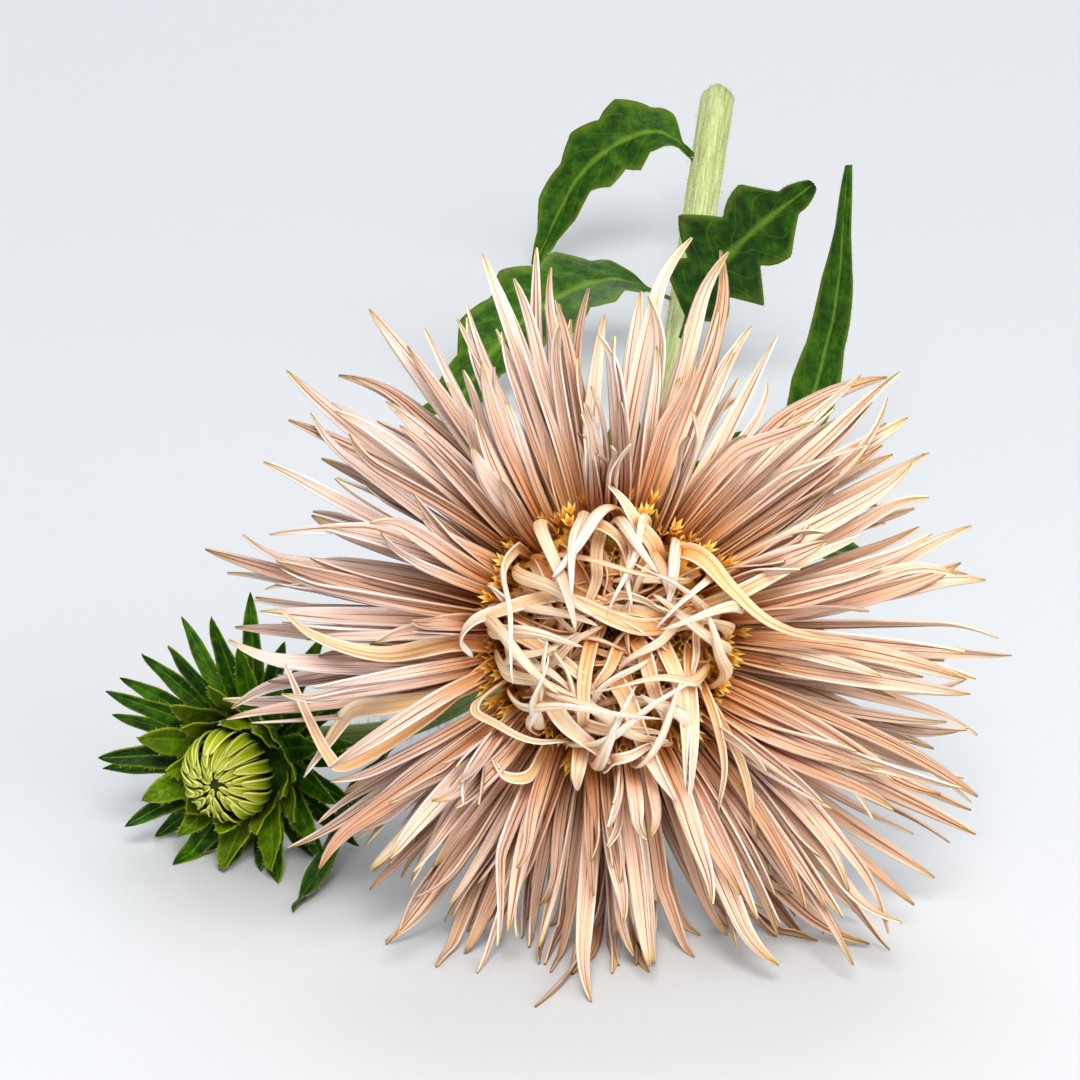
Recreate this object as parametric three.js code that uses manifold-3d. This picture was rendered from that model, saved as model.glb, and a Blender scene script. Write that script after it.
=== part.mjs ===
// A needle-petalled China aster, cut and laid on its side: one bloom on a leafy stem, with a green side bud.
// Millimetres, +Z up. X runs across the bloom, Y back along the stem, and Z = 0 is the surface it lies on.
import * as THREE from 'three';
import { mergeVertices } from 'three/addons/utils/BufferGeometryUtils.js';
import Module from 'manifold-3d';

const wasm = await Module();
wasm.setup();

// Sizes of the whole flower, with lengths in millimetres and angles in degrees
const FOOTPRINT_CENTRE = new THREE.Vector3(-8.9, 152, 0);
const SEAT_GAP = 0.3;
const BLOOM_CENTRE = new THREE.Vector3(0, 0, 44);
const BLOOM_LOOKS = new THREE.Vector3(0, -0.94, 0.342);
const BUD_CENTRE = new THREE.Vector3(-54.5, 22, 14.5);
const BUD_LOOKS = new THREE.Vector3(-0.42, -0.9, 0.04);

// Stem: from the back of the bloom down to the surface and away, thicker towards the cut
const STEM_BEND = [
  [0, 29, 33], [2, 66, 21], [8, 122, 8], [13, 170, 2], [18, 220, 2.5], [24.5, 279, 13], [32, 337, 30],
];
const STEM_LOWEST = 2.5;
const STEM_RADIUS = { neck: 2.3, cut: 3.1 };
const STEM_STEPS = 22;
const STEM_RIDGE = 0.07;
const BRANCH_BEND = [[2, 73, 19], [-12, 57, 16], [-31, 39, 13.5], [-44, 31.5, 15]];
const BRANCH_RADIUS = 1.7;
const BRANCH_STEPS = 8;

// Bloom: radius from the bloom's axis and height along it, from back to front
const RECEPTACLE = [[0, -20], [2.2, -20], [3, -15], [5.6, -11.4], [8.5, -8.4], [8.5, -6.5], [0, -6.5]];
const BRACT_CUP = [[0, -14.4], [4.8, -14.4], [7.6, -11], [10.4, -8], [10.4, -6.7], [0, -6.7]];
const RAY_CORE = [[0, -6.2], [10.6, -6.2], [14.2, -4.4], [16.2, -1.6], [16.6, 0.8], [15.4, 2.9], [0, 2.9]];
const DISC_CORE = [[0, 3.2], [12.6, 3.2], [12, 4.6], [7.5, 5.5], [0, 5.8]];
const RAY_LAYERS = [
  { count: 28, rise: -11, length: 43, root: [12.5, -3.3] },
  { count: 28, rise: -1, length: 45, root: [12.5, -1.8] },
  { count: 26, rise: 10, length: 42, root: [12.5, -0.3] },
  { count: 20, rise: 24, length: 37, root: [13.6, 1] },
  { count: 12, rise: 42, length: 30, root: [14.4, 1.8] },
];
const RAY_PARTINGS = [[207, 7], [231, 4], [309, 4], [16, 4], [89, 3], [112, 3], [150, 2]];
const RAY_REACH = { at: -35, spread: 28, longer: 0.28 };
const RAY_STATIONS = [0, 0.3, 0.56, 0.8, 1];
const RAY = { width: 3, thickness: 0.85, fold: 0.5, widths: [0.45, 0.78, 1, 0.72, 0] };
const BLADE_REST = -0.35;
const CURL_COUNT = 22;
const CURL_ROOT = { radius: 15.3, height: 1.2 };
const CURL_STATIONS = [0, 0.18, 0.34, 0.5, 0.66, 0.82, 1];
const CURL = { width: 1.7, thickness: 0.8, fold: 0.2, widths: [1, 1, 1, 1, 0.9, 0.7, 0] };
const CURL_LOWEST = 10.3;
const FLORET_COUNT = 60;
const FLORET_REACH = 11.4;
const FLORET = { radius: 0.62, flare: 0.95, sides: 4 };
const BLOOM_BRACT_ROWS = [
  { count: 8, rise: -26, length: 33, root: [6, -8.6], longer: 0 },
  { count: 7, rise: -40, length: 27, root: [5, -10.4], longer: 0 },
];
const BLOOM_BRACT = { width: 6, thickness: 0.9, fold: 0.22, widths: [0.4, 0.5, 0.85, 1, 0] };
const BRACT_STATIONS = [0, 0.25, 0.55, 0.78, 1];
const BRACT_REACH = { at: 150, spread: 55 };

// Bud: the same measures about the bud's own axis
const BUD_CUP = [[0, -8], [2.3, -8], [5.2, -4.8], [7.2, -2.4], [7.2, -1.4], [0, -1.4]];
const BUD_HEAD_RADIUS = 5.6;
const BUD_HEAD_HEIGHT = 3.4;
const BUD_PETAL_RINGS = [
  { count: 9, from: 112, to: 22, radius: 7.1, width: 3.6 },
  { count: 7, from: 72, to: 12, radius: 6.4, width: 2.9 },
];
const BUD_PETAL = { thickness: 0.9, fold: -0.2, widths: [0.8, 1, 0.62, 0] };
const BUD_BRACT_ROWS = [
  { count: 8, rise: 68, length: 9.5, root: [6.8, -2], longer: 0 },
  { count: 10, rise: 48, length: 13.5, root: [6.2, -2.8], longer: 0.1 },
  { count: 12, rise: 27, length: 16, root: [5.2, -3.8], longer: 0.25 },
  { count: 12, rise: 10, length: 16, root: [4.6, -4.5], longer: 0.25 },
  { count: 11, rise: -8, length: 17, root: [4, -5.2], longer: 0.35 },
];
const BUD_BRACT = { width: 4.4, thickness: 0.8, fold: 0.25, widths: [0.6, 1, 0.8, 0] };
const BUD_BRACT_STATIONS = [0, 0.42, 0.72, 1];

// Leaves: where each leaves the stem, the points it bends by, its half width, its teeth on each side and how
// much of the width is left between them, and the way its face looks
const LEAVES = [
  {
    path: [[4, 101, 13], [17, 93, 23], [32, 83, 27.5], [47, 74, 26.5]],
    halfWidth: 6.5, teeth: 3, notch: 0.72, up: [0, 0, 1],
  },
  {
    path: [[9, 134, 6], [-7, 123, 16], [-24, 108, 11], [-39, 94, -6]],
    halfWidth: 8, teeth: 4, notch: 0.72, up: [0, 0, 1],
  },
  {
    path: [[15, 190, 3], [36, 186, 7], [44.5, 181, 31], [47, 177, 63]],
    halfWidth: 4.4, teeth: 3, notch: 0.8, up: [-0.2, -1, 0.3],
  },
  {
    path: [[21, 247, 6], [25, 240, 21], [33, 231, 34], [44, 223, 46]],
    halfWidth: 11.5, teeth: 3, notch: 0.5, up: [0, -1, 0.6],
  },
  {
    path: [[23, 268, 9], [7, 257, 17], [-11, 243, 11], [-26, 230, -7]],
    halfWidth: 10.5, teeth: 5, notch: 0.72, up: [0, -0.5, 1],
  },
  {
    path: [[29, 314, 22], [19, 316, 29], [6, 317, 22], [-5, 315, 2]],
    halfWidth: 8, teeth: 4, notch: 0.72, up: [0, -0.8, 0.7],
  },
];
const BRANCH_LEAF = {
  path: [[-29, 41, 14], [-35, 30, 9], [-41, 14, 3], [-46.5, -1, 0]],
  halfWidth: 3.4, teeth: 1, notch: 0.72, up: [-0.6, 0, 1],
};
const LEAF_THICKNESS = 0.8;
const LEAF_FOLD = 0.25;
const PETIOLE_SHARE = 0.17;
const PETIOLE_HALF_WIDTH = 1.2;

// Draws numbers between two limits, the same ones on every run for one seed.
function dice(seed) {
  let state = seed;
  return (low, high) => {
    state = (state * 1664525 + 1013904223) % 4294967296;
    return low + ((high - low) * state) / 4294967296;
  };
}

const radians = THREE.MathUtils.degToRad;

// A closed solid from points and triangles that face outwards.
function solid(points, triangles) {
  const vertProperties = new Float32Array(points.flatMap((point) => point.toArray()));
  const triVerts = new Uint32Array(triangles.flat());
  return new wasm.Manifold(new wasm.Mesh({ numProp: 3, vertProperties, triVerts }));
}

function fuse(solids) {
  return wasm.Manifold.union(solids);
}

// A closed skin over rings of points that run anticlockwise about the path, and may end in a single point.
function skin(rings) {
  const points = [];
  const triangles = [];
  const starts = rings.map((ring) => points.push(...ring) - ring.length);
  const sides = rings[0].length;
  const last = rings.length - 1;
  for (let i = 0; i < last; i++) {
    for (let j = 0; j < sides; j++) {
      const [a, b] = [starts[i] + j, starts[i] + ((j + 1) % sides)];
      if (rings[i + 1].length === 1) {
        triangles.push([a, b, starts[i + 1]]);
      } else {
        const [c, d] = [starts[i + 1] + ((j + 1) % sides), starts[i + 1] + j];
        triangles.push([a, b, c], [a, c, d]);
      }
    }
  }
  for (let j = 1; j < sides - 1; j++) {
    triangles.push([0, j + 1, j]);
    if (rings[last].length > 1) {
      triangles.push([starts[last], starts[last] + j, starts[last] + j + 1]);
    }
  }
  return solid(points, triangles);
}

// The direction ahead, the side and the face at a point of a path, with the side as near to across as can be.
function frameAt(path, i, across, roll = 0) {
  const before = path[Math.max(i - 1, 0)];
  const beyond = path[Math.min(i + 1, path.length - 1)];
  const ahead = beyond.clone().sub(before).normalize();
  const level = across.clone().addScaledVector(ahead, -across.dot(ahead)).normalize();
  const side = level.applyAxisAngle(ahead, roll);
  return { ahead, side, face: ahead.clone().cross(side) };
}

function offset(point, side, sideways, face, outwards) {
  return point.clone().addScaledVector(side, sideways).addScaledVector(face, outwards);
}

// A pointed blade along a path: four-cornered, with a groove on its face and a keel on its back.
function blade(path, across, shape, roll, scale, grow = 0) {
  const rings = path.map((point, i) => {
    if (shape.widths[i] === 0) {
      return [point];
    }
    const { side, face } = frameAt(path, i, across, roll);
    const half = (shape.width * scale * shape.widths[i]) / 2;
    const depth = (shape.thickness / 2) * (0.6 + 0.4 * shape.widths[i]) + grow;
    return [
      offset(point, side, 0, face, depth),
      offset(point, side, -half - grow, face, half * shape.fold),
      offset(point, side, 0, face, -depth),
      offset(point, side, half + grow, face, half * shape.fold),
    ];
  });
  return skin(rings);
}

// A ridged rod along a path, with a radius for each point.
function rod(path, across, radii, sides = 8) {
  const rings = path.map((point, i) => {
    const { side, face } = frameAt(path, i, across);
    return Array.from({ length: sides }, (_, k) => {
      const turn = (2 * Math.PI * k) / sides;
      const radius = radii[i] * (k % 2 ? 1 - STEM_RIDGE : 1 + STEM_RIDGE);
      return offset(point, side, radius * Math.cos(turn), face, radius * Math.sin(turn));
    });
  });
  return skin(rings);
}

// A head's own frame: its centre, the way it looks, and the directions to its right and top.
function headFrame(centre, looks) {
  const axis = looks.clone().normalize();
  const top = new THREE.Vector3(0, 0, 1).addScaledVector(axis, -axis.z).normalize();
  return { centre, axis, top, right: top.clone().cross(axis) };
}

function onHead(head, angle, out, forward) {
  return head.centre
    .clone()
    .addScaledVector(head.right, out * Math.cos(angle))
    .addScaledVector(head.top, out * Math.sin(angle))
    .addScaledVector(head.axis, forward);
}

function aroundHead(head, angle) {
  return head.top.clone().multiplyScalar(Math.cos(angle)).addScaledVector(head.right, -Math.sin(angle));
}

// A body turned about a head's axis, from a profile of radius and height that starts and ends on the axis.
function turned(head, profile, grow = 0, segments = 20) {
  const outline = profile.map(([radius, height]) => {
    const up = height > profile[0][1] ? grow : -grow;
    return new THREE.Vector2(radius ? radius + grow : 0, height + up);
  });
  const geometry = new THREE.LatheGeometry(outline, segments);
  geometry.applyMatrix4(new THREE.Matrix4().makeBasis(head.right, head.axis, head.top.clone().negate()));
  geometry.translate(...head.centre.toArray());
  return solidOf(geometry);
}

// A closed solid from a closed geometry, with its doubled vertices merged.
function solidOf(geometry) {
  geometry.deleteAttribute('normal');
  geometry.deleteAttribute('uv');
  const merged = mergeVertices(geometry, 1e-4);
  const triangles = [];
  for (let i = 0; i < merged.index.count; i += 3) {
    const [a, b, c] = [0, 1, 2].map((k) => merged.index.getX(i + k));
    if (a !== b && b !== c && c !== a) {
      triangles.push([a, b, c]);
    }
  }
  const points = Array.from({ length: merged.attributes.position.count }, (_, i) =>
    new THREE.Vector3().fromBufferAttribute(merged.attributes.position, i));
  return solid(points, triangles);
}

// Keeps a point above the surface: one that would fall below it lies on it, pushed along by what it lost.
function settle(point, rest, push) {
  const raised = (point.z + rest + Math.hypot(point.z - rest, 1.6)) / 2;
  const lost = raised - point.z;
  return new THREE.Vector3(point.x + push.x * lost, point.y + push.y * lost, raised);
}

const FORWARD = new THREE.Vector3(0, -0.8, 0);
const BACKWARD = new THREE.Vector3(0, 0.8, 0);

// How far an angle is from a place in degrees, the short way round.
function awayFrom(angle, place) {
  return THREE.MathUtils.euclideanModulo(angle - radians(place) + Math.PI, 2 * Math.PI) - Math.PI;
}

// How much longer petals or bracts are on one side.
function reaching(angle, { at, spread }, longer) {
  return 1 + longer * Math.exp(-((awayFrom(angle, at) / radians(spread)) ** 2));
}

// An angle pushed apart at each parting: by its half width at its middle, and less the further away it is.
function parted(angle) {
  return RAY_PARTINGS.reduce((turned, [at, wide]) => {
    const away = awayFrom(turned, at);
    return turned + Math.sign(away) * radians(wide) * Math.exp(-((away / (2 * radians(wide))) ** 2));
  }, angle);
}

// Ray petals: layers of needles round the core, each a little out of line, bent, swept and rolled by chance.
function rayPetals(head, grow = 0) {
  const draw = dice(2510);
  return RAY_LAYERS.flatMap((layer, row) =>
    Array.from({ length: layer.count }, (_, k) => {
      const angle = parted((2 * Math.PI * (k + 0.5 * (row % 2) + draw(-0.42, 0.42))) / layer.count);
      const rise = radians(layer.rise + draw(-6, 6));
      const length = layer.length * draw(0.8, 1.07) * reaching(angle, RAY_REACH, RAY_REACH.longer);
      const bend = draw(-0.12, 0.2);
      const sweep = draw(-0.16, 0.16);
      const roll = radians(draw(-35, 35));
      const scale = draw(0.78, 1.12);
      const path = RAY_STATIONS.map((station) => {
        const along = station * length;
        const curve = bend * length * station * station;
        const point = onHead(
          head,
          angle,
          layer.root[0] + along * Math.cos(rise) - curve * Math.sin(rise),
          layer.root[1] + along * Math.sin(rise) + curve * Math.cos(rise),
        );
        point.addScaledVector(aroundHead(head, angle), sweep * length * station * station);
        return settle(point, BLADE_REST, FORWARD);
      });
      return blade(path, aroundHead(head, angle), RAY, roll, scale, grow);
    }),
  );
}

// Curled petals: ribbons that stand up round the disc, lean out a little, then fold in over it.
function curledPetals(head, grow = 0) {
  const draw = dice(77);
  return Array.from({ length: CURL_COUNT }, (_, k) => {
    const angle = (2 * Math.PI * (k + draw(-0.4, 0.4))) / CURL_COUNT;
    const length = draw(22, 35);
    const lean = radians(draw(56, 78));
    const turn = radians(draw(115, 185));
    const sweep = draw(-0.45, 0.45);
    const roll = radians(draw(-40, 40));
    const scale = draw(0.85, 1.1);
    let out = CURL_ROOT.radius;
    let forward = CURL_ROOT.height;
    const path = CURL_STATIONS.map((station, i) => {
      if (i > 0) {
        const step = (station - CURL_STATIONS[i - 1]) * length;
        const heading = lean + turn * Math.max(0, station - 0.2) ** 1.2;
        out += step * Math.cos(heading);
        forward += step * Math.sin(heading);
      }
      const inside = THREE.MathUtils.smoothstep(15.6 - out, 0, 1.8);
      const lowest = inside * CURL_LOWEST + (1 - inside) * CURL_ROOT.height - 0.5;
      const clear = Math.max(forward, lowest);
      const swept = sweep * length * station ** 2;
      return onHead(head, angle, out, clear).addScaledVector(aroundHead(head, angle), swept);
    });
    return blade(path, aroundHead(head, angle), CURL, roll, scale, grow);
  });
}

// Disc florets: small flared tubes on a spiral over the disc, longest round its rim.
function discFlorets(head) {
  const draw = dice(411);
  return Array.from({ length: FLORET_COUNT }, (_, k) => {
    const angle = k * radians(137.508);
    const out = FLORET_REACH * Math.sqrt((k + 0.5) / FLORET_COUNT);
    const tall = 2.4 + 1.8 * (out / FLORET_REACH) ** 2 + draw(-0.4, 0.4);
    const lean = 0.08 * out + draw(-0.5, 0.5);
    const foot = onHead(head, angle, out, 4);
    const tip = onHead(head, angle, out + lean * 0.35, 5.4 + tall);
    const rings = [[foot, FLORET.radius], [tip, FLORET.flare]].map(([point, radius]) =>
      Array.from({ length: FLORET.sides }, (_, j) => {
        const turn = (2 * Math.PI * j) / FLORET.sides + angle;
        return offset(point, head.right, radius * Math.cos(turn), head.top, radius * Math.sin(turn));
      }),
    );
    return skin(rings);
  });
}

// Rows of bracts round a head, bent slightly up at their tips and lying on the surface where they reach it.
function bracts(head, rows, shape, stations, seed, push) {
  const draw = dice(seed);
  return rows.flatMap((row, r) =>
    Array.from({ length: row.count }, (_, k) => {
      const angle = (2 * Math.PI * (k + 0.5 * (r % 2) + draw(-0.2, 0.2))) / row.count;
      const rise = radians(row.rise + draw(-5, 5));
      const length = row.length * draw(0.88, 1.1) * reaching(angle, BRACT_REACH, row.longer);
      const bend = draw(0.02, 0.16);
      const roll = radians(draw(-16, 16));
      const path = stations.map((station) => {
        const along = station * length;
        const curve = bend * length * station * station;
        const out = row.root[0] + along * Math.cos(rise) - curve * Math.sin(rise);
        const forward = row.root[1] + along * Math.sin(rise) + curve * Math.cos(rise);
        return settle(onHead(head, angle, out, forward), BLADE_REST, push);
      });
      return blade(path, aroundHead(head, angle), shape, roll, 1);
    }),
  );
}

// Bud petals: rings of short petals that rise from the bud's round head and close over it.
function budPetals(head) {
  const draw = dice(93);
  return BUD_PETAL_RINGS.flatMap((ring, r) =>
    Array.from({ length: ring.count }, (_, k) => {
      const angle = (2 * Math.PI * (k + 0.5 * (r % 2) + draw(-0.15, 0.15))) / ring.count;
      const path = BUD_PETAL.widths.map((_, i) => {
        const polar = radians(ring.from + ((ring.to - ring.from) * i) / (BUD_PETAL.widths.length - 1));
        const radius = i ? ring.radius : BUD_HEAD_RADIUS - 0.6;
        return onHead(head, angle, radius * Math.sin(polar), BUD_HEAD_HEIGHT + radius * Math.cos(polar));
      });
      return blade(path, aroundHead(head, angle), { ...BUD_PETAL, width: ring.width }, 0, 1);
    }),
  );
}

// The bud's round head, cut flat where it sits on its cup.
function budHeadProfile() {
  const seat = BUD_CUP.at(-1)[1] + SEAT_GAP;
  const widest = Math.acos((seat - BUD_HEAD_HEIGHT) / BUD_HEAD_RADIUS);
  const arc = Array.from({ length: 8 }, (_, i) => {
    const polar = widest * (1 - i / 7);
    return [BUD_HEAD_RADIUS * Math.sin(polar), BUD_HEAD_HEIGHT + BUD_HEAD_RADIUS * Math.cos(polar)];
  });
  arc[7][0] = 0;
  return [[0, seat], ...arc];
}

// A plate over a grid of points, of even thickness, with its two faces split into triangles alike.
function plate(points, normals, thickness) {
  const rows = points.length;
  const columns = points[0].length;
  const half = thickness / 2;
  const vertices = [half, -half].flatMap((lift) =>
    points.flatMap((row, i) => row.map((point, j) => point.clone().addScaledVector(normals[i], lift))));
  const under = rows * columns;
  const triangles = [];
  const wall = (a, b) => triangles.push([a, b, b + under], [a, b + under, a + under]);
  for (let i = 0; i + 1 < rows; i++) {
    for (let j = 0; j + 1 < columns; j++) {
      const a = i * columns + j;
      const [b, c, d] = [a + 1, a + columns + 1, a + columns];
      triangles.push([a, c, b], [a, d, c]);
      triangles.push([a + under, b + under, c + under], [a + under, c + under, d + under]);
    }
    wall((i + 1) * columns, i * columns);
    wall(i * columns + columns - 1, (i + 1) * columns + columns - 1);
  }
  for (let j = 0; j + 1 < columns; j++) {
    wall(j, j + 1);
    wall((rows - 1) * columns + j + 1, (rows - 1) * columns + j);
  }
  return solid(vertices, triangles);
}

// One leaf: a stalk that widens into a toothed blade, folded along its rib.
function leaf({ path, halfWidth, teeth, notch, up }, thickness = LEAF_THICKNESS) {
  const rib = new THREE.CatmullRomCurve3(path.map((point) => new THREE.Vector3(...point)));
  const upwards = new THREE.Vector3(...up).normalize();
  const steps = 2 * teeth + 1;
  const stations = [0, PETIOLE_SHARE * 0.6, PETIOLE_SHARE];
  for (let i = 1; i <= steps; i++) {
    stations.push(PETIOLE_SHARE + ((1 - PETIOLE_SHARE) * i) / steps);
  }
  const normals = [];
  const points = stations.map((station, i) => {
    const centre = rib.getPoint(station);
    const ahead = rib.getTangent(station);
    const side = upwards.clone().cross(ahead).normalize();
    const face = ahead.clone().cross(side);
    normals.push(face);
    const share = Math.max(0, (station - PETIOLE_SHARE) / (1 - PETIOLE_SHARE));
    const tooth = i % 2 ? 1 : notch;
    const spread = halfWidth * tooth * Math.sin(Math.PI * Math.min(1, share * 0.93 + 0.03) ** 0.85);
    const half = i < 3 ? PETIOLE_HALF_WIDTH : Math.max(0.5, spread);
    const rise = half * LEAF_FOLD;
    const edges = [-half, half].map((sideways) => offset(centre, side, sideways, face, i < 3 ? 0 : rise));
    return [edges[0], centre, edges[1]].map((point) => settleFlat(point));
  });
  return plate(points, normals, thickness);
}

// Keeps a leaf's middle surface half its thickness above the surface that it lies on.
function settleFlat(point) {
  return new THREE.Vector3(point.x, point.y, Math.max(point.z, LEAF_THICKNESS / 2 - 0.3));
}

// The largest body of a solid: loose scraps that a cut leaves behind are dropped.
function largest(whole) {
  return whole.decompose().reduce((best, body) => (body.volume() > best.volume() ? body : best));
}

const belowSurface = solidOf(new THREE.BoxGeometry(600, 600, 60).translate(0, 100, -30));

function mesh(name, body, material) {
  const clean = largest(body.subtract(belowSurface).simplify(0.01));
  const { vertProperties, triVerts } = clean.getMesh();
  const geometry = new THREE.BufferGeometry();
  geometry.setAttribute('position', new THREE.BufferAttribute(vertProperties, 3));
  geometry.setIndex(new THREE.BufferAttribute(triVerts, 1));
  const made = new THREE.Mesh(geometry, material);
  made.name = name;
  return made;
}

const paint = (color, roughness) => new THREE.MeshStandardMaterial({ color, roughness, metalness: 0 });
const petalPink = paint('#dcbcab', 0.6);
const floretGold = paint('#b98432', 0.7);
const bractGreen = paint('#2c4515', 0.65);
const leafGreen = paint('#27400f', 0.6);
const stemGreen = paint('#8da569', 0.7);
const budGreen = paint('#bdc860', 0.55);

const bloom = headFrame(BLOOM_CENTRE, BLOOM_LOOKS);
const bud = headFrame(BUD_CENTRE, BUD_LOOKS);

function stemPath(start, bend, steps) {
  const points = [start, ...bend.map((point) => new THREE.Vector3(...point))];
  return new THREE.CatmullRomCurve3(points).getSpacedPoints(steps);
}

// The stem, the swollen end that carries the bloom, and the branch to the bud grew as one.
function stem(grow = 0) {
  const path = stemPath(onHead(bloom, 0, 0, -15), STEM_BEND, STEM_STEPS);
  path.forEach((point) => point.setZ(Math.max(point.z, STEM_LOWEST)));
  const { neck, cut } = STEM_RADIUS;
  const radii = path.map((_, i) => THREE.MathUtils.lerp(neck, cut, i / STEM_STEPS) + grow);
  const branch = stemPath(new THREE.Vector3(...BRANCH_BEND[0]), BRANCH_BEND.slice(1), BRANCH_STEPS);
  branch.push(onHead(bud, 0, 0, -9));
  return fuse([
    rod(path, new THREE.Vector3(1, 0, 0), radii),
    turned(bloom, RECEPTACLE, grow),
    rod(branch, new THREE.Vector3(0, 0, 1), branch.map(() => BRANCH_RADIUS + grow), 6),
  ]);
}

const grownStem = stem(SEAT_GAP);
const grownBranchLeaf = leaf(BRANCH_LEAF, LEAF_THICKNESS + 2 * SEAT_GAP);
const clearOfRays = fuse([
  turned(bloom, RAY_CORE, SEAT_GAP),
  ...rayPetals(bloom, SEAT_GAP),
  ...curledPetals(bloom, SEAT_GAP),
]);

const flower = new THREE.Group();
flower.position.copy(FOOTPRINT_CENTRE).negate();
flower.add(mesh('stem', stem(), stemGreen));
flower.add(
  mesh(
    'bloom_ray_petals',
    fuse([turned(bloom, RAY_CORE), ...rayPetals(bloom), ...curledPetals(bloom)]),
    petalPink,
  ),
);
flower.add(
  mesh(
    'bloom_disc_florets',
    fuse([turned(bloom, DISC_CORE), ...discFlorets(bloom)]).subtract(clearOfRays),
    floretGold,
  ),
);
flower.add(
  mesh(
    'bloom_bracts',
    fuse([
      turned(bloom, BRACT_CUP),
      ...bracts(bloom, BLOOM_BRACT_ROWS, BLOOM_BRACT, BRACT_STATIONS, 58, BACKWARD),
    ]).subtract(fuse([grownStem, clearOfRays])),
    bractGreen,
  ),
);
flower.add(mesh('bud_petals', fuse([turned(bud, budHeadProfile()), ...budPetals(bud)]), budGreen));
flower.add(
  mesh(
    'bud_bracts',
    fuse([
      turned(bud, BUD_CUP),
      ...bracts(bud, BUD_BRACT_ROWS, BUD_BRACT, BUD_BRACT_STATIONS, 19, FORWARD),
    ]).subtract(fuse([grownStem, clearOfRays, grownBranchLeaf])),
    bractGreen,
  ),
);
LEAVES.forEach((shape, i) => {
  flower.add(mesh(`leaf_${i + 1}`, leaf(shape).subtract(grownStem), leafGreen));
});
flower.add(mesh('branch_leaf', leaf(BRANCH_LEAF).subtract(grownStem), leafGreen));

export default flower;
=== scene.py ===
"""A needle-petalled China aster, cut and laid on its side: one bloom on a leafy stem and a green side bud."""
import math

import bpy
import numpy as np
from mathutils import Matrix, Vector


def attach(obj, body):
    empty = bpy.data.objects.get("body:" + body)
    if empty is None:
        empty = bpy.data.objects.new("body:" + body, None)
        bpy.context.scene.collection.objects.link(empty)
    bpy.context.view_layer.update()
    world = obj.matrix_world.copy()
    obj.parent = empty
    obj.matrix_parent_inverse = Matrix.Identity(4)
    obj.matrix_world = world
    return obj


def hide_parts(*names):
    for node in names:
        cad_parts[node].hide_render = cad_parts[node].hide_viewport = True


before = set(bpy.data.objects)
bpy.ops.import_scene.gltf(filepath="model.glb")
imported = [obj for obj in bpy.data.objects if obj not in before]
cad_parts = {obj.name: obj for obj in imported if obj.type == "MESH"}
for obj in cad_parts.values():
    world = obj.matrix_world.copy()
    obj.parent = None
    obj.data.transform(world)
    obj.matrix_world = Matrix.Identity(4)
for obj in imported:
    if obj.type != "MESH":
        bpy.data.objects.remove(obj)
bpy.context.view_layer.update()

# The flower's places, in millimetres: the bloom is at the front, the stem runs back along Y, and Z = 0 is the
# surface it lies on. FOOTPRINT_CENTRE is where the middle of its footprint falls in these numbers.
MM = 0.001
FOOTPRINT_CENTRE = np.array([-8.9, 152.0, 0.0])
BLOOM_CENTRE = np.array([0.0, 0.0, 44.0])
BLOOM_LOOKS = np.array([0.0, -0.94, 0.342])
BUD_CENTRE = np.array([-54.5, 22.0, 14.5])
BUD_LOOKS = np.array([-0.42, -0.9, 0.04])


# Camera: about where the photograph was taken from, with a lens and a tilt that are assumed, turned to the
# flower and with a longer lens, so that the flower fills the frame as seen from the same place. Its focal
# length, the flower's middle and the side that is shown are in the photograph's pixels.
FILM_SIDE = 36
PHOTO_SIDE = 1080
PHOTO_FOCAL = 2249
PHOTO_PITCH = math.radians(11)
FLOWER_MIDDLE_PIXEL = (580, 893)
SHOWN_PIXELS = 400
CAMERA_PLACE = BLOOM_CENTRE + np.array([-25.3, -832.0, 316.0])

ahead = Vector((0, math.cos(PHOTO_PITCH), -math.sin(PHOTO_PITCH)))
upwards = Vector((0, math.sin(PHOTO_PITCH), math.cos(PHOTO_PITCH)))
across = (FLOWER_MIDDLE_PIXEL[0] - PHOTO_SIDE / 2) / PHOTO_FOCAL
down = (FLOWER_MIDDLE_PIXEL[1] - PHOTO_SIDE / 2) / PHOTO_FOCAL
aim = ahead + Vector((across, 0, 0)) - down * upwards

camera = bpy.data.objects.new("camera", bpy.data.cameras.new("camera"))
camera.data.sensor_width = FILM_SIDE
camera.data.lens = FILM_SIDE * PHOTO_FOCAL / SHOWN_PIXELS
camera.data.clip_start = 0.01
camera.location = Vector((CAMERA_PLACE - FOOTPRINT_CENTRE) * MM)
camera.rotation_euler = aim.to_track_quat("-Z", "Y").to_euler()
bpy.context.scene.collection.objects.link(camera)
bpy.context.scene.camera = camera


# Floor and light: a pale matt sheet under a bright, even studio light. A soft lamp stands in front and above,
# a weaker one low at the right and one behind, so that shadows are faint and lie close under the flower.
FLOOR_SIDE = 12.0
SKY_COLOUR = "#fbfcff"
SKY_STRENGTH = 0.41
LAMPS = [
    {"name": "key_lamp", "place": (0.0, -1.3, 1.25), "side": 0.7, "power": 28, "colour": "#fffaf2"},
    {"name": "fill_lamp", "place": (0.8, -1.1, 0.6), "side": 1.2, "power": 13, "colour": "#fffaf4"},
    {"name": "back_lamp", "place": (0.0, 1.4, 1.3), "side": 1.6, "power": 20, "colour": "#ffffff"},
]


def linear(colour):
    """An sRGB hex colour as linear red, green, blue and alpha."""
    channels = np.array([int(colour[i:i + 2], 16) for i in (1, 3, 5)]) / 255
    channels = np.where(channels <= 0.04045, channels / 12.92, ((channels + 0.055) / 1.055) ** 2.4)
    return (*channels.tolist(), 1.0)


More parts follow.
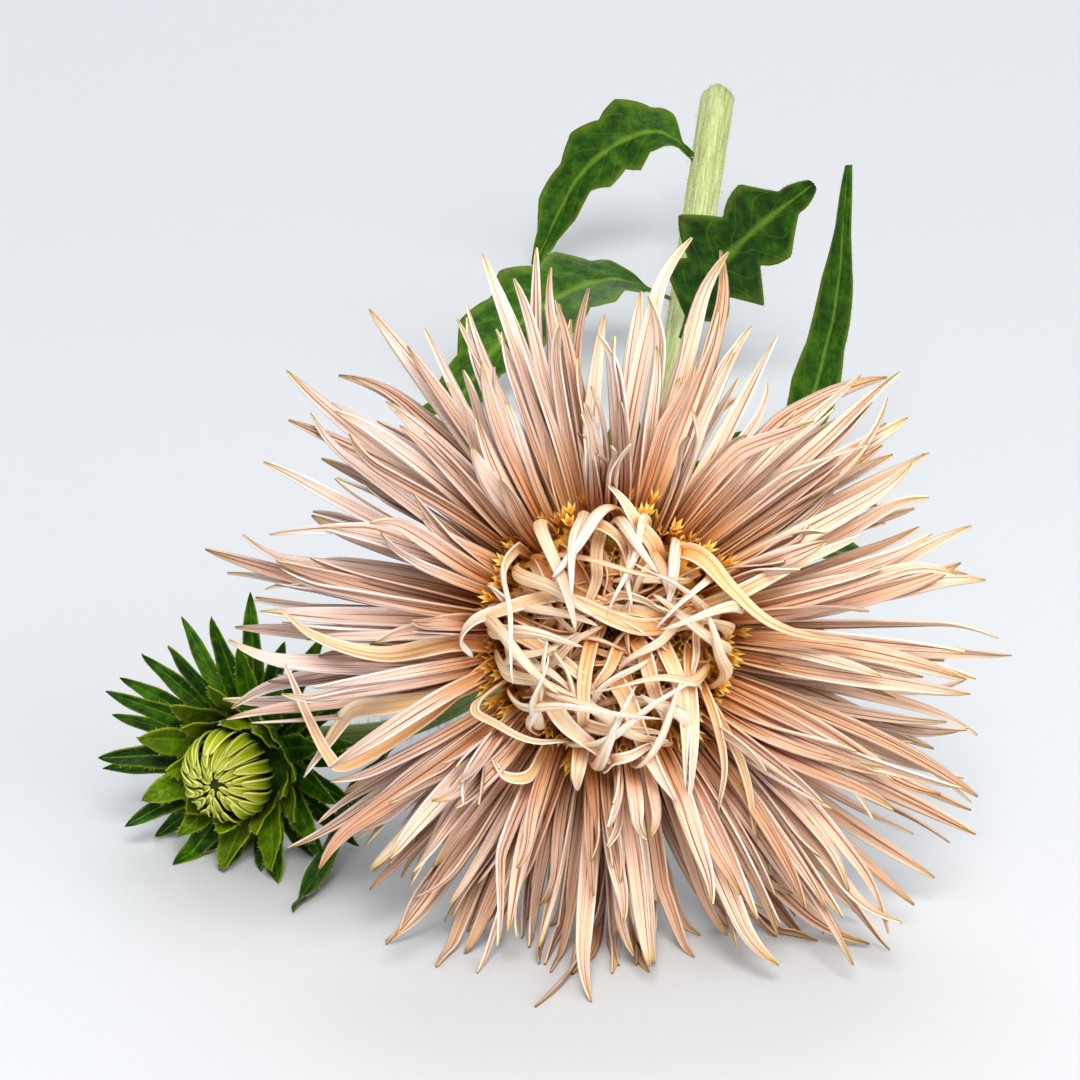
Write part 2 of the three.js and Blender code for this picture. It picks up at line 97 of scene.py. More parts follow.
def add(tree, kind, inputs=None, stops=None, **settings):
    """Adds a node: settings are its own properties, inputs give each socket a value, another node's output,
    or a node for its first output in use, and stops are the places and colours of a ramp."""
    made = tree.nodes.new(kind)
    for name, value in settings.items():
        setattr(made, name, value)
    for name, value in (inputs or {}).items():
        if isinstance(value, bpy.types.Node):
            value = next(output for output in value.outputs if output.enabled)
        if isinstance(value, bpy.types.NodeSocket):
            tree.links.new(value, made.inputs[name])
        else:
            made.inputs[name].default_value = value
    if stops:
        ramp = made.color_ramp
        while len(ramp.elements) < len(stops):
            ramp.elements.new(0.5)
        for element, (place, colour) in zip(ramp.elements, stops):
            element.position = place
            element.color = linear(colour)
    return made


def material(name):
    """A new material and its tree, which paint() finishes."""
    made = bpy.data.materials.new(name)
    made.use_nodes = True
    made.node_tree.nodes.clear()
    return made, made.node_tree


def paint(tree, colour, height=None, height_mm=0.1, **shader):
    """Ends a material: a principled shader with a colour, a height that makes bumps of height_mm, and set
    values."""
    inputs = {"Base Color": colour, **shader}
    if height is not None:
        inputs["Normal"] = add(tree, "ShaderNodeBump",
                               {"Height": height, "Distance": height_mm * MM, "Strength": 1.0})
    surface = add(tree, "ShaderNodeBsdfPrincipled", inputs)
    add(tree, "ShaderNodeOutputMaterial", {"Surface": surface})


# Matt paper: no gloss, a faint grain, and tones that hardly change
floor_paper, tree = material("matt_paper")
place = add(tree, "ShaderNodeTexCoord")
cloud = add(tree, "ShaderNodeTexNoise", {"Vector": place.outputs["Object"], "Scale": 2.0})
grain = add(tree, "ShaderNodeTexNoise", {"Vector": place.outputs["Object"], "Scale": 1500.0})
tint = add(tree, "ShaderNodeValToRGB", {"Fac": cloud}, [(0.3, "#c6cbd2"), (0.7, "#c9ced4")])
paint(tree, tint, grain, 0.05, Roughness=0.9)

floor_mesh = bpy.data.meshes.new("floor")
half_floor = FLOOR_SIDE / 2
floor_mesh.from_pydata(
    [(-half_floor, -half_floor, 0), (half_floor, -half_floor, 0), (half_floor, half_floor, 0),
     (-half_floor, half_floor, 0)], [], [(0, 1, 2, 3)])
floor_mesh.materials.append(floor_paper)
floor = bpy.data.objects.new("floor", floor_mesh)
bpy.context.scene.collection.objects.link(floor)

sky = bpy.data.worlds.new("studio")
sky.use_nodes = True
sky.node_tree.nodes.clear()
glow = add(sky.node_tree, "ShaderNodeBackground", {"Color": linear(SKY_COLOUR), "Strength": SKY_STRENGTH})
add(sky.node_tree, "ShaderNodeOutputWorld", {"Surface": glow})
bpy.context.scene.world = sky

for lamp in LAMPS:
    light = bpy.data.lights.new(lamp["name"], "AREA")
    light.size = lamp["side"]
    light.energy = lamp["power"]
    light.color = linear(lamp["colour"])[:3]
    holder = bpy.data.objects.new(lamp["name"], light)
    holder.location = lamp["place"]
    holder.rotation_euler = (-Vector(lamp["place"])).to_track_quat("-Z", "Y").to_euler()
    bpy.context.scene.collection.objects.link(holder)
bpy.context.scene.view_settings.view_transform = "Standard"


# Ray petals: long needles, each a strip rolled into a channel that opens towards its pointed tip. They grow
# in layers round the flat head, are thin and soft, and those at the bottom bend forward where they meet the
# surface.
RAY_LAYERS = [
    {"count": 28, "rise": -11, "length": 43, "root": (12.5, -3.3)},
    {"count": 28, "rise": -1, "length": 45, "root": (12.5, -1.8)},
    {"count": 26, "rise": 10, "length": 42, "root": (12.5, -0.3)},
    {"count": 20, "rise": 24, "length": 37, "root": (13.6, 1.0)},
    {"count": 12, "rise": 42, "length": 30, "root": (14.4, 1.8)},
]
RAY_DRAWS = {"shift": (-0.42, 0.42), "rise": (-6, 6), "length": (0.8, 1.07), "bend": (-0.12, 0.2),
             "sweep": (-0.16, 0.16), "roll": (-35, 35), "scale": (0.78, 1.12)}
RAY_PARTINGS = [(207, 7), (231, 4), (309, 4), (16, 4), (89, 3), (112, 3), (150, 2)]
RAY_REACH = {"middle": -35, "spread": 28}
RAY_REACH_LONGER = 0.28
RAY_LOOK_DRAWS = {"own": (0, 1), "curl": (0.4, 1.25), "twist": (-1.1, 1.1), "wave": (0.1, 0.8),
                  "rock": (-0.8, 0.8), "phase": (0, 6.28), "hook": (-1, 1), "kink": (-1, 1)}
HOOK = {"from": 0.8, "bend": 1.8}
KINK = {"from": 0.66, "bend": 0.35, "rarity": 0.85}
FINE_RAYS = 190
FILLING_RAYS = 84
FILLED_BELOW = -0.3
FILLED_PARTING = 112
FILLED_PARTING_NEARNESS = 0.986
RAY_SEEDS = {"layers": 2510, "look": 907, "fine": 3301, "fine_look": 411, "filling": 3307,
             "filling_look": 417}
FINE_RAY_DRAWS = {"host": (0, 1), "shift": (-0.13, 0.13), "rise": (-8, 8), "length": (0.68, 1.0),
                  "bend": (-0.06, 0.06), "sweep": (-0.08, 0.08), "roll": (-60, 60), "scale": (0.5, 0.85)}
RAY_STEPS = 26
RAY_POINTS_ACROSS = 9
FINE_POINTS_ACROSS = 7
RAY_WIDTH = 2.9
RAY_TIP_HALF_WIDTH = 0.14
RAY_OUTLINE = {"start": 0.5, "widest": 0.45, "fullness": 0.75, "bluntness": 2.4}
RAY_OPENING = 1.5
RAY_OPENING_LOSS = 0.8
RAY_WALL = 0.3
RAY_STAIN_AND_SHADE_REACH = 32
BLADE_REST = -0.35
SETTLING = 1.6
LOWEST = 0.05
FORWARD = np.array([0.0, -0.8, 0.0])
BACKWARD = np.array([0.0, 0.8, 0.0])


def dice(seed, rows, limits):
    """Named columns of numbers, each drawn between its two limits, row by row: the same chain of draws that
    shaped the flower's solids."""
    state = seed
    drawn = np.empty(rows * len(limits))
    for i in range(drawn.size):
        state = (state * 1664525 + 1013904223) % 4294967296
        drawn[i] = state / 4294967296
    low, high = np.array(list(limits.values()), float).T
    return dict(zip(limits, (low + (high - low) * drawn.reshape(rows, len(limits))).T))


class Head:
    """A head's own frame: its centre, its axis, and the directions to its right and top."""

    def __init__(self, centre, looks):
        self.centre = centre
        self.axis = looks / np.linalg.norm(looks)
        top = np.array([0.0, 0.0, 1.0]) - self.axis[2] * self.axis
        self.top = top / np.linalg.norm(top)
        self.right = np.cross(self.top, self.axis)

    def at(self, angle, out, forward):
        """The point at an angle round the axis, a radius out from it and a height along it."""
        angle, out, forward = np.broadcast_arrays(angle, out, forward)
        return (self.centre + (out * np.cos(angle))[..., None] * self.right
                + (out * np.sin(angle))[..., None] * self.top + forward[..., None] * self.axis)

    def around(self, angle):
        """The direction round the axis at an angle."""
        return np.cos(angle)[..., None] * self.top - np.sin(angle)[..., None] * self.right


def unit(vectors):
    """Vectors at length 1."""
    return vectors / np.linalg.norm(vectors, axis=-1, keepdims=True)


def settle(points, rest, push):
    """Keeps paths above the surface: a height z becomes half of z + rest + hypot(z - rest, settling), and the
    point is pushed along by what it gained."""
    raised = (points[..., 2] + rest + np.hypot(points[..., 2] - rest, SETTLING)) / 2
    settled = points + push * (raised - points[..., 2])[..., None]
    settled[..., 2] = raised
    return settled


def frames_along(paths, across, roll=0.0):
    """The side and face directions along paths, with the side as near to across as it can be, then rolled
    about the path. paths is (path, step, xyz), across is (path, xyz), and roll broadcasts to (path, step)."""
    ahead = unit(np.gradient(paths, axis=1))
    across = across[:, None, :]
    side = unit(across - np.sum(across * ahead, -1, keepdims=True) * ahead)
    face = np.cross(ahead, side)
    roll = np.broadcast_to(roll, paths.shape[:2])[..., None]
    return np.cos(roll) * side + np.sin(roll) * face, np.cos(roll) * face - np.sin(roll) * side


def loop_across(points_across):
    """Shares across a strip, from -1 to 1 along its back and from 1 to -1 along its face, and 1 on the
    face."""
    share = np.linspace(-1, 1, points_across)
    return np.concatenate([share, share[::-1]]), np.repeat([0.0, 1.0], points_across)


def channel(paths, side, face, half_width, opening, wall, points_across):
    """Rings of a rolled strip. A point at share a across it lies on an arc of half angle opening and of
    radius r = half_width / opening: sideways by r sin(a opening), towards the face by r - r cos(a opening).
    The face takes the same arc with r less by the wall."""
    share, inner = loop_across(points_across)
    opening = np.broadcast_to(opening, half_width.shape)[..., None]
    radius = half_width[..., None] / opening
    drawn_in = radius - (inner - 0.5) * np.minimum(wall, 0.9 * radius)
    sideways = drawn_in * np.sin(share * opening)
    towards = radius - drawn_in * np.cos(share * opening)
    return paths[:, :, None] + sideways[..., None] * side[:, :, None] + towards[..., None] * face[:, :, None]


def lifted(rings):
    """Rings raised, each as a whole, until none of their points is below the surface."""
    raised = rings.copy()
    raised[..., 2] += np.maximum(0, LOWEST - rings[..., 2].min(-1))[..., None]
    return raised


def piece(name, points, faces, facts, stuff, slot, *nodes):
    """A named piece from points in millimetres, arrays of faces and one array of values for each attribute.
    It rides with the flower, takes its finish from stuff and stands for the nodes, which it hides. The slot
    is not used."""
    mesh = bpy.data.meshes.new(name)
    mesh.from_pydata((points - FOOTPRINT_CENTRE) * MM, [],
                     [face for group in faces for face in group.tolist()])
    for key, fact in facts.items():
        mesh.attributes.new(key, "FLOAT", "POINT").data.foreach_set("value", np.asarray(fact, np.float32))
    mesh.shade_smooth()
    mesh.materials.append(stuff)
    made = bpy.data.objects.new(name, mesh)
    bpy.context.scene.collection.objects.link(made)
    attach(made, "root")
    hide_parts(*nodes)
    return made


def skins(name, rings, facts, stuff, slot, *nodes):
    """One piece of closed skins: rings[i, j, k] is point k round ring j of skin i, and a fan to the middle of
    each end ring closes it. facts are numbers for each point, as attributes."""
    shape = rings.shape[:3]
    points = np.concatenate([rings.reshape(-1, 3), rings[:, 0].mean(1), rings[:, -1].mean(1)])
    points[:, 2] = np.maximum(points[:, 2], LOWEST)
    here = np.arange(np.prod(shape)).reshape(shape)
    after = np.roll(here, -1, axis=2)
    first = np.broadcast_to((here.size + np.arange(shape[0]))[:, None], after[:, 0].shape)
    last = first + shape[0]
    faces = [
        np.stack([here[:, :-1], after[:, :-1], after[:, 1:], here[:, 1:]], -1).reshape(-1, 4),
        np.stack([first, after[:, 0], here[:, 0]], -1).reshape(-1, 3),
        np.stack([last, here[:, -1], after[:, -1]], -1).reshape(-1, 3),
    ]
    values = {}
    for key, fact in facts.items():
        full = np.broadcast_to(fact, shape)
        values[key] = np.concatenate([full.ravel(), full[:, 0].mean(1), full[:, -1].mean(1)])
    return piece(name, points, faces, values, stuff, slot, *nodes)


def swell(share, start, widest, fullness, bluntness=1.9):
    """How wide a petal is along its length: from start at its root, as a sine up to 1 at widest, then down to
    0 at the tip as (1 - t ** bluntness) ** fullness, with t the share of the way from the widest place to the
    tip."""
    rising = start + (1 - start) * np.sin(np.pi / 2 * np.clip(share / widest, 0, 1))
    falling = (1 - np.clip((share - widest) / (1 - widest), 0, 1) ** bluntness) ** fullness
    return rising * falling


def turn_from(angle, at):
    """The turn to angles from another one the short way round, from -pi to pi."""
    return (angle - at + np.pi) % (2 * np.pi) - np.pi


def parted(angle):
    """Angles pushed apart at each parting: by its half width at its middle, and less further away."""
    for at, wide in np.radians(RAY_PARTINGS):
        away = turn_from(angle, at)
        angle = angle + np.sign(away) * wide * np.exp(-(away / (2 * wide)) ** 2)
    return angle


def nearness(angle, middle, spread):
    """How near angles are to a middle given in degrees: exp(-(turn from it / spread) ** 2)."""
    return np.exp(-(turn_from(angle, math.radians(middle)) / math.radians(spread)) ** 2)


def in_rows(rows):
    """For each petal of rows round a head: its row, its place in that row, and its row's values by name."""
    count = [row["count"] for row in rows]
    which = np.repeat(np.arange(len(rows)), count)
    order = np.concatenate([np.arange(number) for number in count])
    return which, order, {key: np.array([row[key] for row in rows], float)[which] for key in rows[0]}


def leaning(root, rise, run, curve):
    """How far out and forward a petal is once it has run from its root at its rise, and curved off that."""
    out = root[:, :1] + run * np.cos(rise) - curve * np.sin(rise)
    forward = root[:, 1:] + run * np.sin(rise) + curve * np.cos(rise)
    return out, forward


def layered_rays():
    """Where each ray of the layers grows and how it lies, as named arrays with a row for each ray. They are
    longer on the side where they lie far out on the surface."""
    which, order, layer = in_rows(RAY_LAYERS)
    rays = dice(RAY_SEEDS["layers"], which.size, RAY_DRAWS)
    rays["angle"] = parted(2 * np.pi * (order + 0.5 * (which % 2) + rays["shift"]) / layer["count"])
    rays["rise"] += layer["rise"]
    rays["length"] *= layer["length"] * (1 + RAY_REACH_LONGER * nearness(rays["angle"], **RAY_REACH))
    rays["root"] = layer["root"]
    return rays


def companion_rays(rays, count, seed):
    """Narrower rays that each keep close to one of the others, so that the rays stand in loose bundles."""
    drawn = dice(seed, count, FINE_RAY_DRAWS)
    host = (drawn["host"] * len(rays["angle"])).astype(int)
    own = {key: rays[key][host] + drawn[key] for key in ("rise", "bend", "sweep", "roll")}
    own["angle"] = rays["angle"][host] + drawn["shift"]
    own["length"] = rays["length"][host] * drawn["length"]
    own["root"] = rays["root"][host]
    own["scale"] = drawn["scale"]
    return own


def ray_rings(rays, look_seed, points_across):
    """The rings of rays. A ray leaves its root at its own angle and rise, bends by its length times the share
    of the way squared, sweeps round the axis likewise, and waves and twists a little. Some hook at the tip or
    are kinked."""
    look = dice(look_seed, len(rays["angle"]), RAY_LOOK_DRAWS)
    each = {key: value[:, None] for key, value in {**rays, **look}.items() if key != "root"}
    length = each["length"]
    share = np.linspace(0, 1, RAY_STEPS)[None, :]
    curve = each["bend"] * length * share ** 2 + each["rock"] * np.sin(6 * share + each["phase"]) * share
    out, forward = leaning(rays["root"], np.radians(each["rise"]), share * length, curve)
    wave = each["wave"] * np.sin(5 * share + each["phase"]) * share
    hook = HOOK["bend"] * each["hook"] ** 3 * length * np.clip(share - HOOK["from"], 0, 1) ** 2
    kinked = np.clip(np.abs(each["kink"]) - KINK["rarity"], 0, 1) / (1 - KINK["rarity"])
    kink = KINK["bend"] * np.sign(each["kink"]) * kinked * length * np.clip(share - KINK["from"], 0, 1)
    sideways = each["sweep"] * length * share ** 2 + wave + hook + kink
    around = bloom.around(rays["angle"])
    paths = bloom.at(each["angle"], out, forward) + sideways[..., None] * around[:, None]
    paths = settle(paths, BLADE_REST, FORWARD)
    side, face = frames_along(paths, around, np.radians(each["roll"]) + each["twist"] * share ** 1.5)
    half_width = RAY_WIDTH / 2 * each["scale"] * swell(share, **RAY_OUTLINE) + RAY_TIP_HALF_WIDTH
    opening = each["curl"] * (RAY_OPENING - RAY_OPENING_LOSS * share ** 0.5)
    rings = lifted(channel(paths, side, face, half_width, opening, RAY_WALL, points_across))
    return rings, {"along": share[..., None], **strip_facts(bloom, rings, points_across, RAY_STAIN_AND_SHADE_REACH),
                   "own": look["own"][:, None, None]}


def strip_facts(head, rings, points_across, clean):
    """Where each point is across a strip, how deep it lies in the hollow of its face, where shade is painted,
    and how strongly it takes the golden stain near the disc, which also paints warm shade deep in the bloom:
    fully at the disc's middle, and no longer at the clean distance from it."""
    share, inner = loop_across(points_across)
    far = rings - head.centre - 2 * head.axis
    forward = far @ head.axis
    out = np.sqrt(np.maximum(0, np.sum(far * far, -1) - forward ** 2))
    # A golden stain near the disc, which also paints warm shade on what lies deep in the bloom
    stain_and_warm_shade = np.clip(1.9 - 1.9 * np.hypot(out, 1.7 * forward) / clean, 0, 1)
    return {"across": share, "hollow": inner * (1 - share ** 2), "stain_and_warm_shade": stain_and_warm_shade}


# Petal materials: how a colour goes over another, the sizes of the streaks and ribs, and of the painted gap
# shade
BLENDED = {"data_type": "RGBA"}
MULTIPLIED = {"data_type": "RGBA", "blend_type": "MULTIPLY"}
STREAK_STRETCH = (6.0, 1.6, 57.0)
RIB_TURN = 9.4
RIB_SHARE = 0.06
PETAL_BUMP = 0.35
GAP_DEPTH = 4
GAP_SAMPLES = 2


def petal_skin(name, along_stops, tints, **shader):
    """Soft petal tissue: a colour that changes from root to tip, fine lengthwise streaks with painted shade
    in the grooves between the ribs, painted shade in the hollow of the face, painted highlights on the edges,
    and a tone of its own. Further tints are a golden stain near the disc that also paints warm shade deep in
    the bloom, painted light on the flower's right, painted shade on its left and lowest petals, and painted
    shade in the gaps between petals."""
    made, tree = material(name)
    along, across, own, hollow, stain_and_warm_shade = (
        add(tree, "ShaderNodeAttribute", attribute_name=fact).outputs["Fac"]
        for fact in ("along", "across", "own", "hollow", "stain_and_warm_shade"))
    strip = add(tree, "ShaderNodeCombineXYZ", {"X": across, "Y": along, "Z": own})
    stretched = add(tree, "ShaderNodeVectorMath", {0: strip, 1: STREAK_STRETCH}, operation="MULTIPLY")
    streaks = add(tree, "ShaderNodeTexNoise", {"Vector": stretched, "Scale": 1.0, "Detail": 3.0})
    ribs = add(tree, "ShaderNodeMath", {0: across, 1: RIB_TURN}, operation="MULTIPLY")
    ribs = add(tree, "ShaderNodeMath", {0: ribs}, operation="COSINE")
    ribbed = add(tree, "ShaderNodeMath", {0: ribs, 1: RIB_SHARE, 2: streaks}, operation="MULTIPLY_ADD")
    streak = add(tree, "ShaderNodeMapRange", {"Value": ribbed, "From Min": 0.36, "From Max": 0.6})
    # Painted highlights on the rims: the edges are mixed towards the pale edge colour
    edges = add(tree, "ShaderNodeMath", {0: across}, operation="ABSOLUTE")
    edging = add(tree, "ShaderNodeMapRange",
                 {"Value": edges, "From Min": 0.7, "From Max": 1.0, "To Max": 0.45})
    # Painted light and shade by place: the flower's right is painted lit and warm, its left cool and shaded,
    # and its lowest petals darker
    spot = add(tree, "ShaderNodeSeparateXYZ", {"Vector": add(tree, "ShaderNodeTexCoord").outputs["Object"]})
    to_right = add(tree, "ShaderNodeMapRange",
                   {"Value": spot.outputs["X"], "From Min": -0.05, "From Max": 0.06})
    upwards = add(tree, "ShaderNodeMapRange",
                  {"Value": spot.outputs["Z"], "From Min": 0.005, "From Max": 0.035})
    # Painted shade in the gaps between petals: occlusion darkens the colour towards the gap colour
    gap_occlusion = add(tree, "ShaderNodeAmbientOcclusion", {"Distance": GAP_DEPTH * MM}, samples=GAP_SAMPLES)

    lengthwise = add(tree, "ShaderNodeValToRGB", {"Fac": along}, along_stops)
    # Lengthwise streaks: partly the tissue's own, and partly painted shade in the grooves between the ribs,
    # where the bump is low
    streaks_and_groove_shade = add(tree, "ShaderNodeValToRGB", {"Fac": streak}, [
        (0.0, tints["groove"]), (0.45, "#fffaf6"), (1.0, "#ffffff")])
    side_light_and_shade = add(tree, "ShaderNodeValToRGB", {"Fac": to_right}, [
        (0.0, tints["left"]), (0.5, "#ffffff"), (1.0, tints["right"])])
    place = add(tree, "ShaderNodeMix", {"Factor": upwards, "A": linear(tints["low"]), "B": side_light_and_shade}, **BLENDED)
    tone = add(tree, "ShaderNodeValToRGB", {"Fac": own}, [(0.0, tints["deep"]), (0.6, "#ffffff")])
    painted_gap_shade = add(tree, "ShaderNodeValToRGB", {"Fac": gap_occlusion.outputs["AO"]},
               [(0.1, tints["gap"]), (0.65, "#ffffff")])
    layers = [
        (1.0, streaks_and_groove_shade, MULTIPLIED),
        # Painted shade in the hollow of the face
        (hollow, linear(tints["hollow"]), MULTIPLIED),
        (edging, linear(tints["edge"]), BLENDED),
        (stain_and_warm_shade, linear(tints["stain_and_warm_shade"]), MULTIPLIED),
        (1.0, place, MULTIPLIED),
        (1.0, tone, MULTIPLIED),
        (1.0, painted_gap_shade, MULTIPLIED),
    ]
    colour = lengthwise
    for strength, tint, way in layers:
        colour = add(tree, "ShaderNodeMix", {"Factor": strength, "A": colour, "B": tint}, **way)
    paint(tree, colour, ribbed, PETAL_BUMP, **{"Roughness": 0.6, "Specular IOR Level": 0.25, **shader})
    return made


bloom = Head(BLOOM_CENTRE, BLOOM_LOOKS)
bud = Head(BUD_CENTRE, BUD_LOOKS)

# Ray petal tissue: dull and soft, dusty pink with a yellow-green tip, and golden where it leaves the disc,
# that gold also painting warm shade there. Its tints paint shade in the grooves, hollows and gaps, highlights
# on the rims, light on the flower's right and shade on its left and lowest petals
ray_skin = petal_skin(
    "dusty_pink_ray",
    [(0.0, "#e4b268"), (0.16, "#fadebc"), (0.5, "#feeee2"), (0.9, "#fef4ec"), (0.97, "#f2e8b0"),
     (1, "#d4c05c")],
    {"groove": "#a47856", "hollow": "#fcefe6", "edge": "#fdf8f6", "stain_and_warm_shade": "#ecb444", "left": "#eae6f0",
     "right": "#fff7ec", "low": "#f2e4d8", "deep": "#e0cab8", "gap": "#9a5a30"})
rays = layered_rays()
thin_places = ((np.sin(rays["angle"]) < FILLED_BELOW)
               | (np.cos(rays["angle"] - math.radians(FILLED_PARTING)) > FILLED_PARTING_NEARNESS))
hosts = {key: value[thin_places] for key, value in rays.items()}
fine_rays = companion_rays(rays, FINE_RAYS, RAY_SEEDS["fine"])
filling_rays = companion_rays(hosts, FILLING_RAYS, RAY_SEEDS["filling"])
for name, kind, seed, points_across in [
        ("ray_petals", rays, "look", RAY_POINTS_ACROSS),
        ("fine_ray_petals", fine_rays, "fine_look", FINE_POINTS_ACROSS),
        ("filling_ray_petals", filling_rays, "filling_look", FINE_POINTS_ACROSS)]:
    rings, facts = ray_rings(kind, RAY_SEEDS[seed], points_across)
    skins(name, rings, facts, ray_skin, "petal", "bloom_ray_petals")


# Curled petals: cream ribbons that stand up round the disc, lean out a little, then fold in over it in a
# tangle. They are ray petals that stayed narrow, and curled as the bloom aged. The longest cross the whole
# disc or hang out of it.
CURL_DRAWS = {"shift": (-0.4, 0.4), "length": (22, 35), "lean": (56, 78), "turn": (115, 185),
              "sweep": (-0.45, 0.45), "roll": (-40, 40), "scale": (0.85, 1.1)}
CURL_LOOK_DRAWS = {"own": (0, 1), "curl": (0.5, 1.2), "twist": (-1.6, 1.6), "phase": (0, 6.28),
                   "turns": (0.8, 2.4)}
FINE_CURL_DRAWS = {**CURL_DRAWS, "length": (17, 30), "lean": (62, 92), "sweep": (-0.6, 0.6)}
CURL_STATIONS = np.array([0, 0.18, 0.34, 0.5, 0.66, 0.82, 1])
CURL_TURNS_FROM = 0.2
CURL_COUNT = 22
CURL_STEPS = 34
CURL_ROOT = (15.3, 1.2)
FINE_CURL_ROOT = (13.6, 2.0)
CURL_LOWEST = 10.3
DISC_EDGE = 15.6
DISC_EDGE_WIDTH = 1.8
CURL_WIDTH = 2.1
FINE_CURL_SHARE = 0.75
STRAY_CURL_SHARE = 0.88
CURL_OUTLINE = {"start": 0.5, "widest": 0.4, "fullness": 0.75, "bluntness": 2.2}
CURL_TIP_HALF_WIDTH = 0.1
CURL_LEAST_OPENING = 0.2
CURL_WALL = 0.28
CURL_STAIN_AND_SHADE_REACH = 24
CURL_SEEDS = {"curled": 77, "curled_look": 31, "fine": 1207, "fine_look": 53, "tangle": 4409,
              "tangle_look": 67, "stray_look": 89}
TANGLE_COUNT = 29
TANGLE_DRAWS = {"start": (-0.5, 0.5), "foot": (11.5, 15.2), "second": (-0.5, 0.5), "third": (-0.9, 0.9),
                "last": (1.0, 3.2), "near": (2, 9), "end": (5, 13), "high": (8.2, 12.6), "roll": (-35, 35),
                "scale": (0.55, 1.1)}
STRAY_CURLS = [
    {"width": 2.9, "by": [(7.1, 9.0, 8), (6.2, 13, 12), (3.2, 17.5, 14), (-0.2, 21.6, 14)]},
    {"width": 2.2, "by": [(-6.7, 9.4, 9), (-4.6, 13.4, 13), (-2.2, 16.1, 15), (0.6, 14.2, 15.5),
                          (2.4, 9.8, 14), (4.6, 5.2, 12.5)]},
    {"width": 3.2, "by": [(13.4, 2.4, 8), (9.6, 1.6, 12), (4.8, 1.2, 14), (0, 2.4, 14.5), (-5, 4.6, 14),
                          (-9.6, 5.6, 12)]},
    {"width": 2.6, "by": [(12, 3, 9), (19.2, 6.4, 13), (28, 10.2, 12), (37, 14.2, 9)]},
    {"width": 3.5, "by": [(9.2, 8.6, 8), (10.6, 11.4, 13), (13.2, 10.4, 16), (17, 6.4, 16.5),
                          (22.8, 1.6, 14.5), (29.5, -0.9, 12), (37, -1.8, 10)]},
    {"width": 2.3, "by": [(-5.4, 5.4, 11), (-10, 4.8, 13), (-15.4, 3.4, 13), (-19.6, 2.0, 12),
                          (-21.4, -0.6, 10.5), (-19.6, -3.4, 9)]},
    {"width": 2.0, "by": [(-12.5, 3.2, 9), (-14.5, 5.2, 12), (-17.6, 7.2, 13)]},
    {"width": 2.5, "by": [(-15.2, 0.9, 8), (-9.8, -1.8, 13), (-4.5, -6.3, 15), (-1.4, -9.4, 14.5)]},
    {"width": 3.2, "by": [(-12.4, -3.6, 9), (-8.4, -10.2, 14), (-4.5, -14.6, 16), (0.2, -18.8, 15)]},
    {"width": 2.4, "by": [(-2.2, 0.4, 11), (-4, -6.3, 15.5), (-4, -12.4, 15), (-3.3, -16.2, 12)]},
    {"width": 2.3, "by": [(2.2, -1.2, 10), (-0.2, -4.6, 14), (-2.4, -8.2, 14.5)]},
    {"width": 2.8, "by": [(3.4, 0.6, 10), (5.4, -4.6, 14.5), (7.6, -10.4, 15), (8.2, -14.2, 13)]},
    {"width": 3.2, "by": [(7.1, -0.4, 10), (9.4, -6.3, 15), (10.2, -13.8, 16), (10.9, -22.4, 13)]},
    {"width": 2.3, "by": [(12, -1.8, 9), (11.4, -8.5, 14), (12, -17.4, 14), (11.2, -25, 11)]},
    {"width": 3.4, "by": [(0, -5.4, 11), (2.7, -9.2, 15), (4.4, -14.6, 16), (6.6, -19.6, 15),
                          (9.6, -24.4, 13)]},
    {"width": 1.9, "by": [(-4.6, -13.2, 12), (-2.4, -13.4, 16), (1.8, -13.8, 17), (7.6, -14.4, 16)]},
    {"width": 1.9, "by": [(-0.6, -19.2, 12), (0.8, -18.2, 15.5), (4, -16.7, 16.5), (8.4, -15.4, 15.5)]},
    {"width": 1.6, "by": [(-14.6, -6.8, 8), (-19.4, -11.2, 11), (-16, -13.6, 13), (-10.6, -15.4, 13.5),
                          (-5.4, -15.6, 13)]},
    {"width": 2.2, "by": [(-10.4, -18.2, 6), (-12.4, -21.2, 9), (-15.4, -20.6, 11), (-17, -17.8, 12),
                          (-18.3, -14.8, 12)]},
    {"width": 2.7, "by": [(-4.2, -15.5, 9), (-4.4, -19.5, 12), (-4.6, -22.8, 10)]},
    {"width": 1.4, "by": [(14.2, 2.6, 8), (12.4, -1.4, 12), (12.2, -5.4, 12.5), (13.4, -8.4, 11)]},
    {"width": 1.5, "by": [(13.4, -7.6, 7), (16.2, -13.8, 10), (16.6, -19.4, 10), (15.9, -26, 8.5)]},
    {"width": 1.5, "by": [(14.6, -9.6, 6), (17.6, -15.6, 9.5), (20, -22.8, 9), (21.4, -30, 7)]},
    {"width": 1.4, "by": [(-1.4, 4.2, 12), (2.2, 5.8, 15), (4.9, 5.2, 15), (8.2, 2.9, 13.5)]},
    {"width": 1.5, "by": [(-10.4, 10.6, 6), (-10.6, 9.2, 10), (-8.6, 7.2, 11.5), (-4.8, 7.4, 11.5)]},
    {"width": 2.8, "by": [(-5.4, 6.4, 10), (0, 3.4, 13.5), (5.4, 0.2, 13.5), (9.6, -3.2, 12)]},
    {"width": 2.4, "by": [(-16.4, -4.2, 4), (-27, -12.6, 6), (-39, -18.9, 8), (-40.4, -17.6, 8),
                          (-43.8, -11.4, 8), (-47, -4, 8)]},
    {"width": 3.2, "by": [(-15.6, -5.6, 3), (-25, -9.6, 5), (-32, -10.4, 6), (-37.2, -11, 5),
                          (-38.6, -12.4, 5), (-41.2, -16.4, 5), (-44.4, -20.8, 4)]},
    {"width": 3.4, "by": [(-15.6, -1.4, 3), (-22, -1.0, 7), (-33, -3.2, 9), (-43, -0.4, 10),
                          (-47.6, 3.8, 10)]},
]


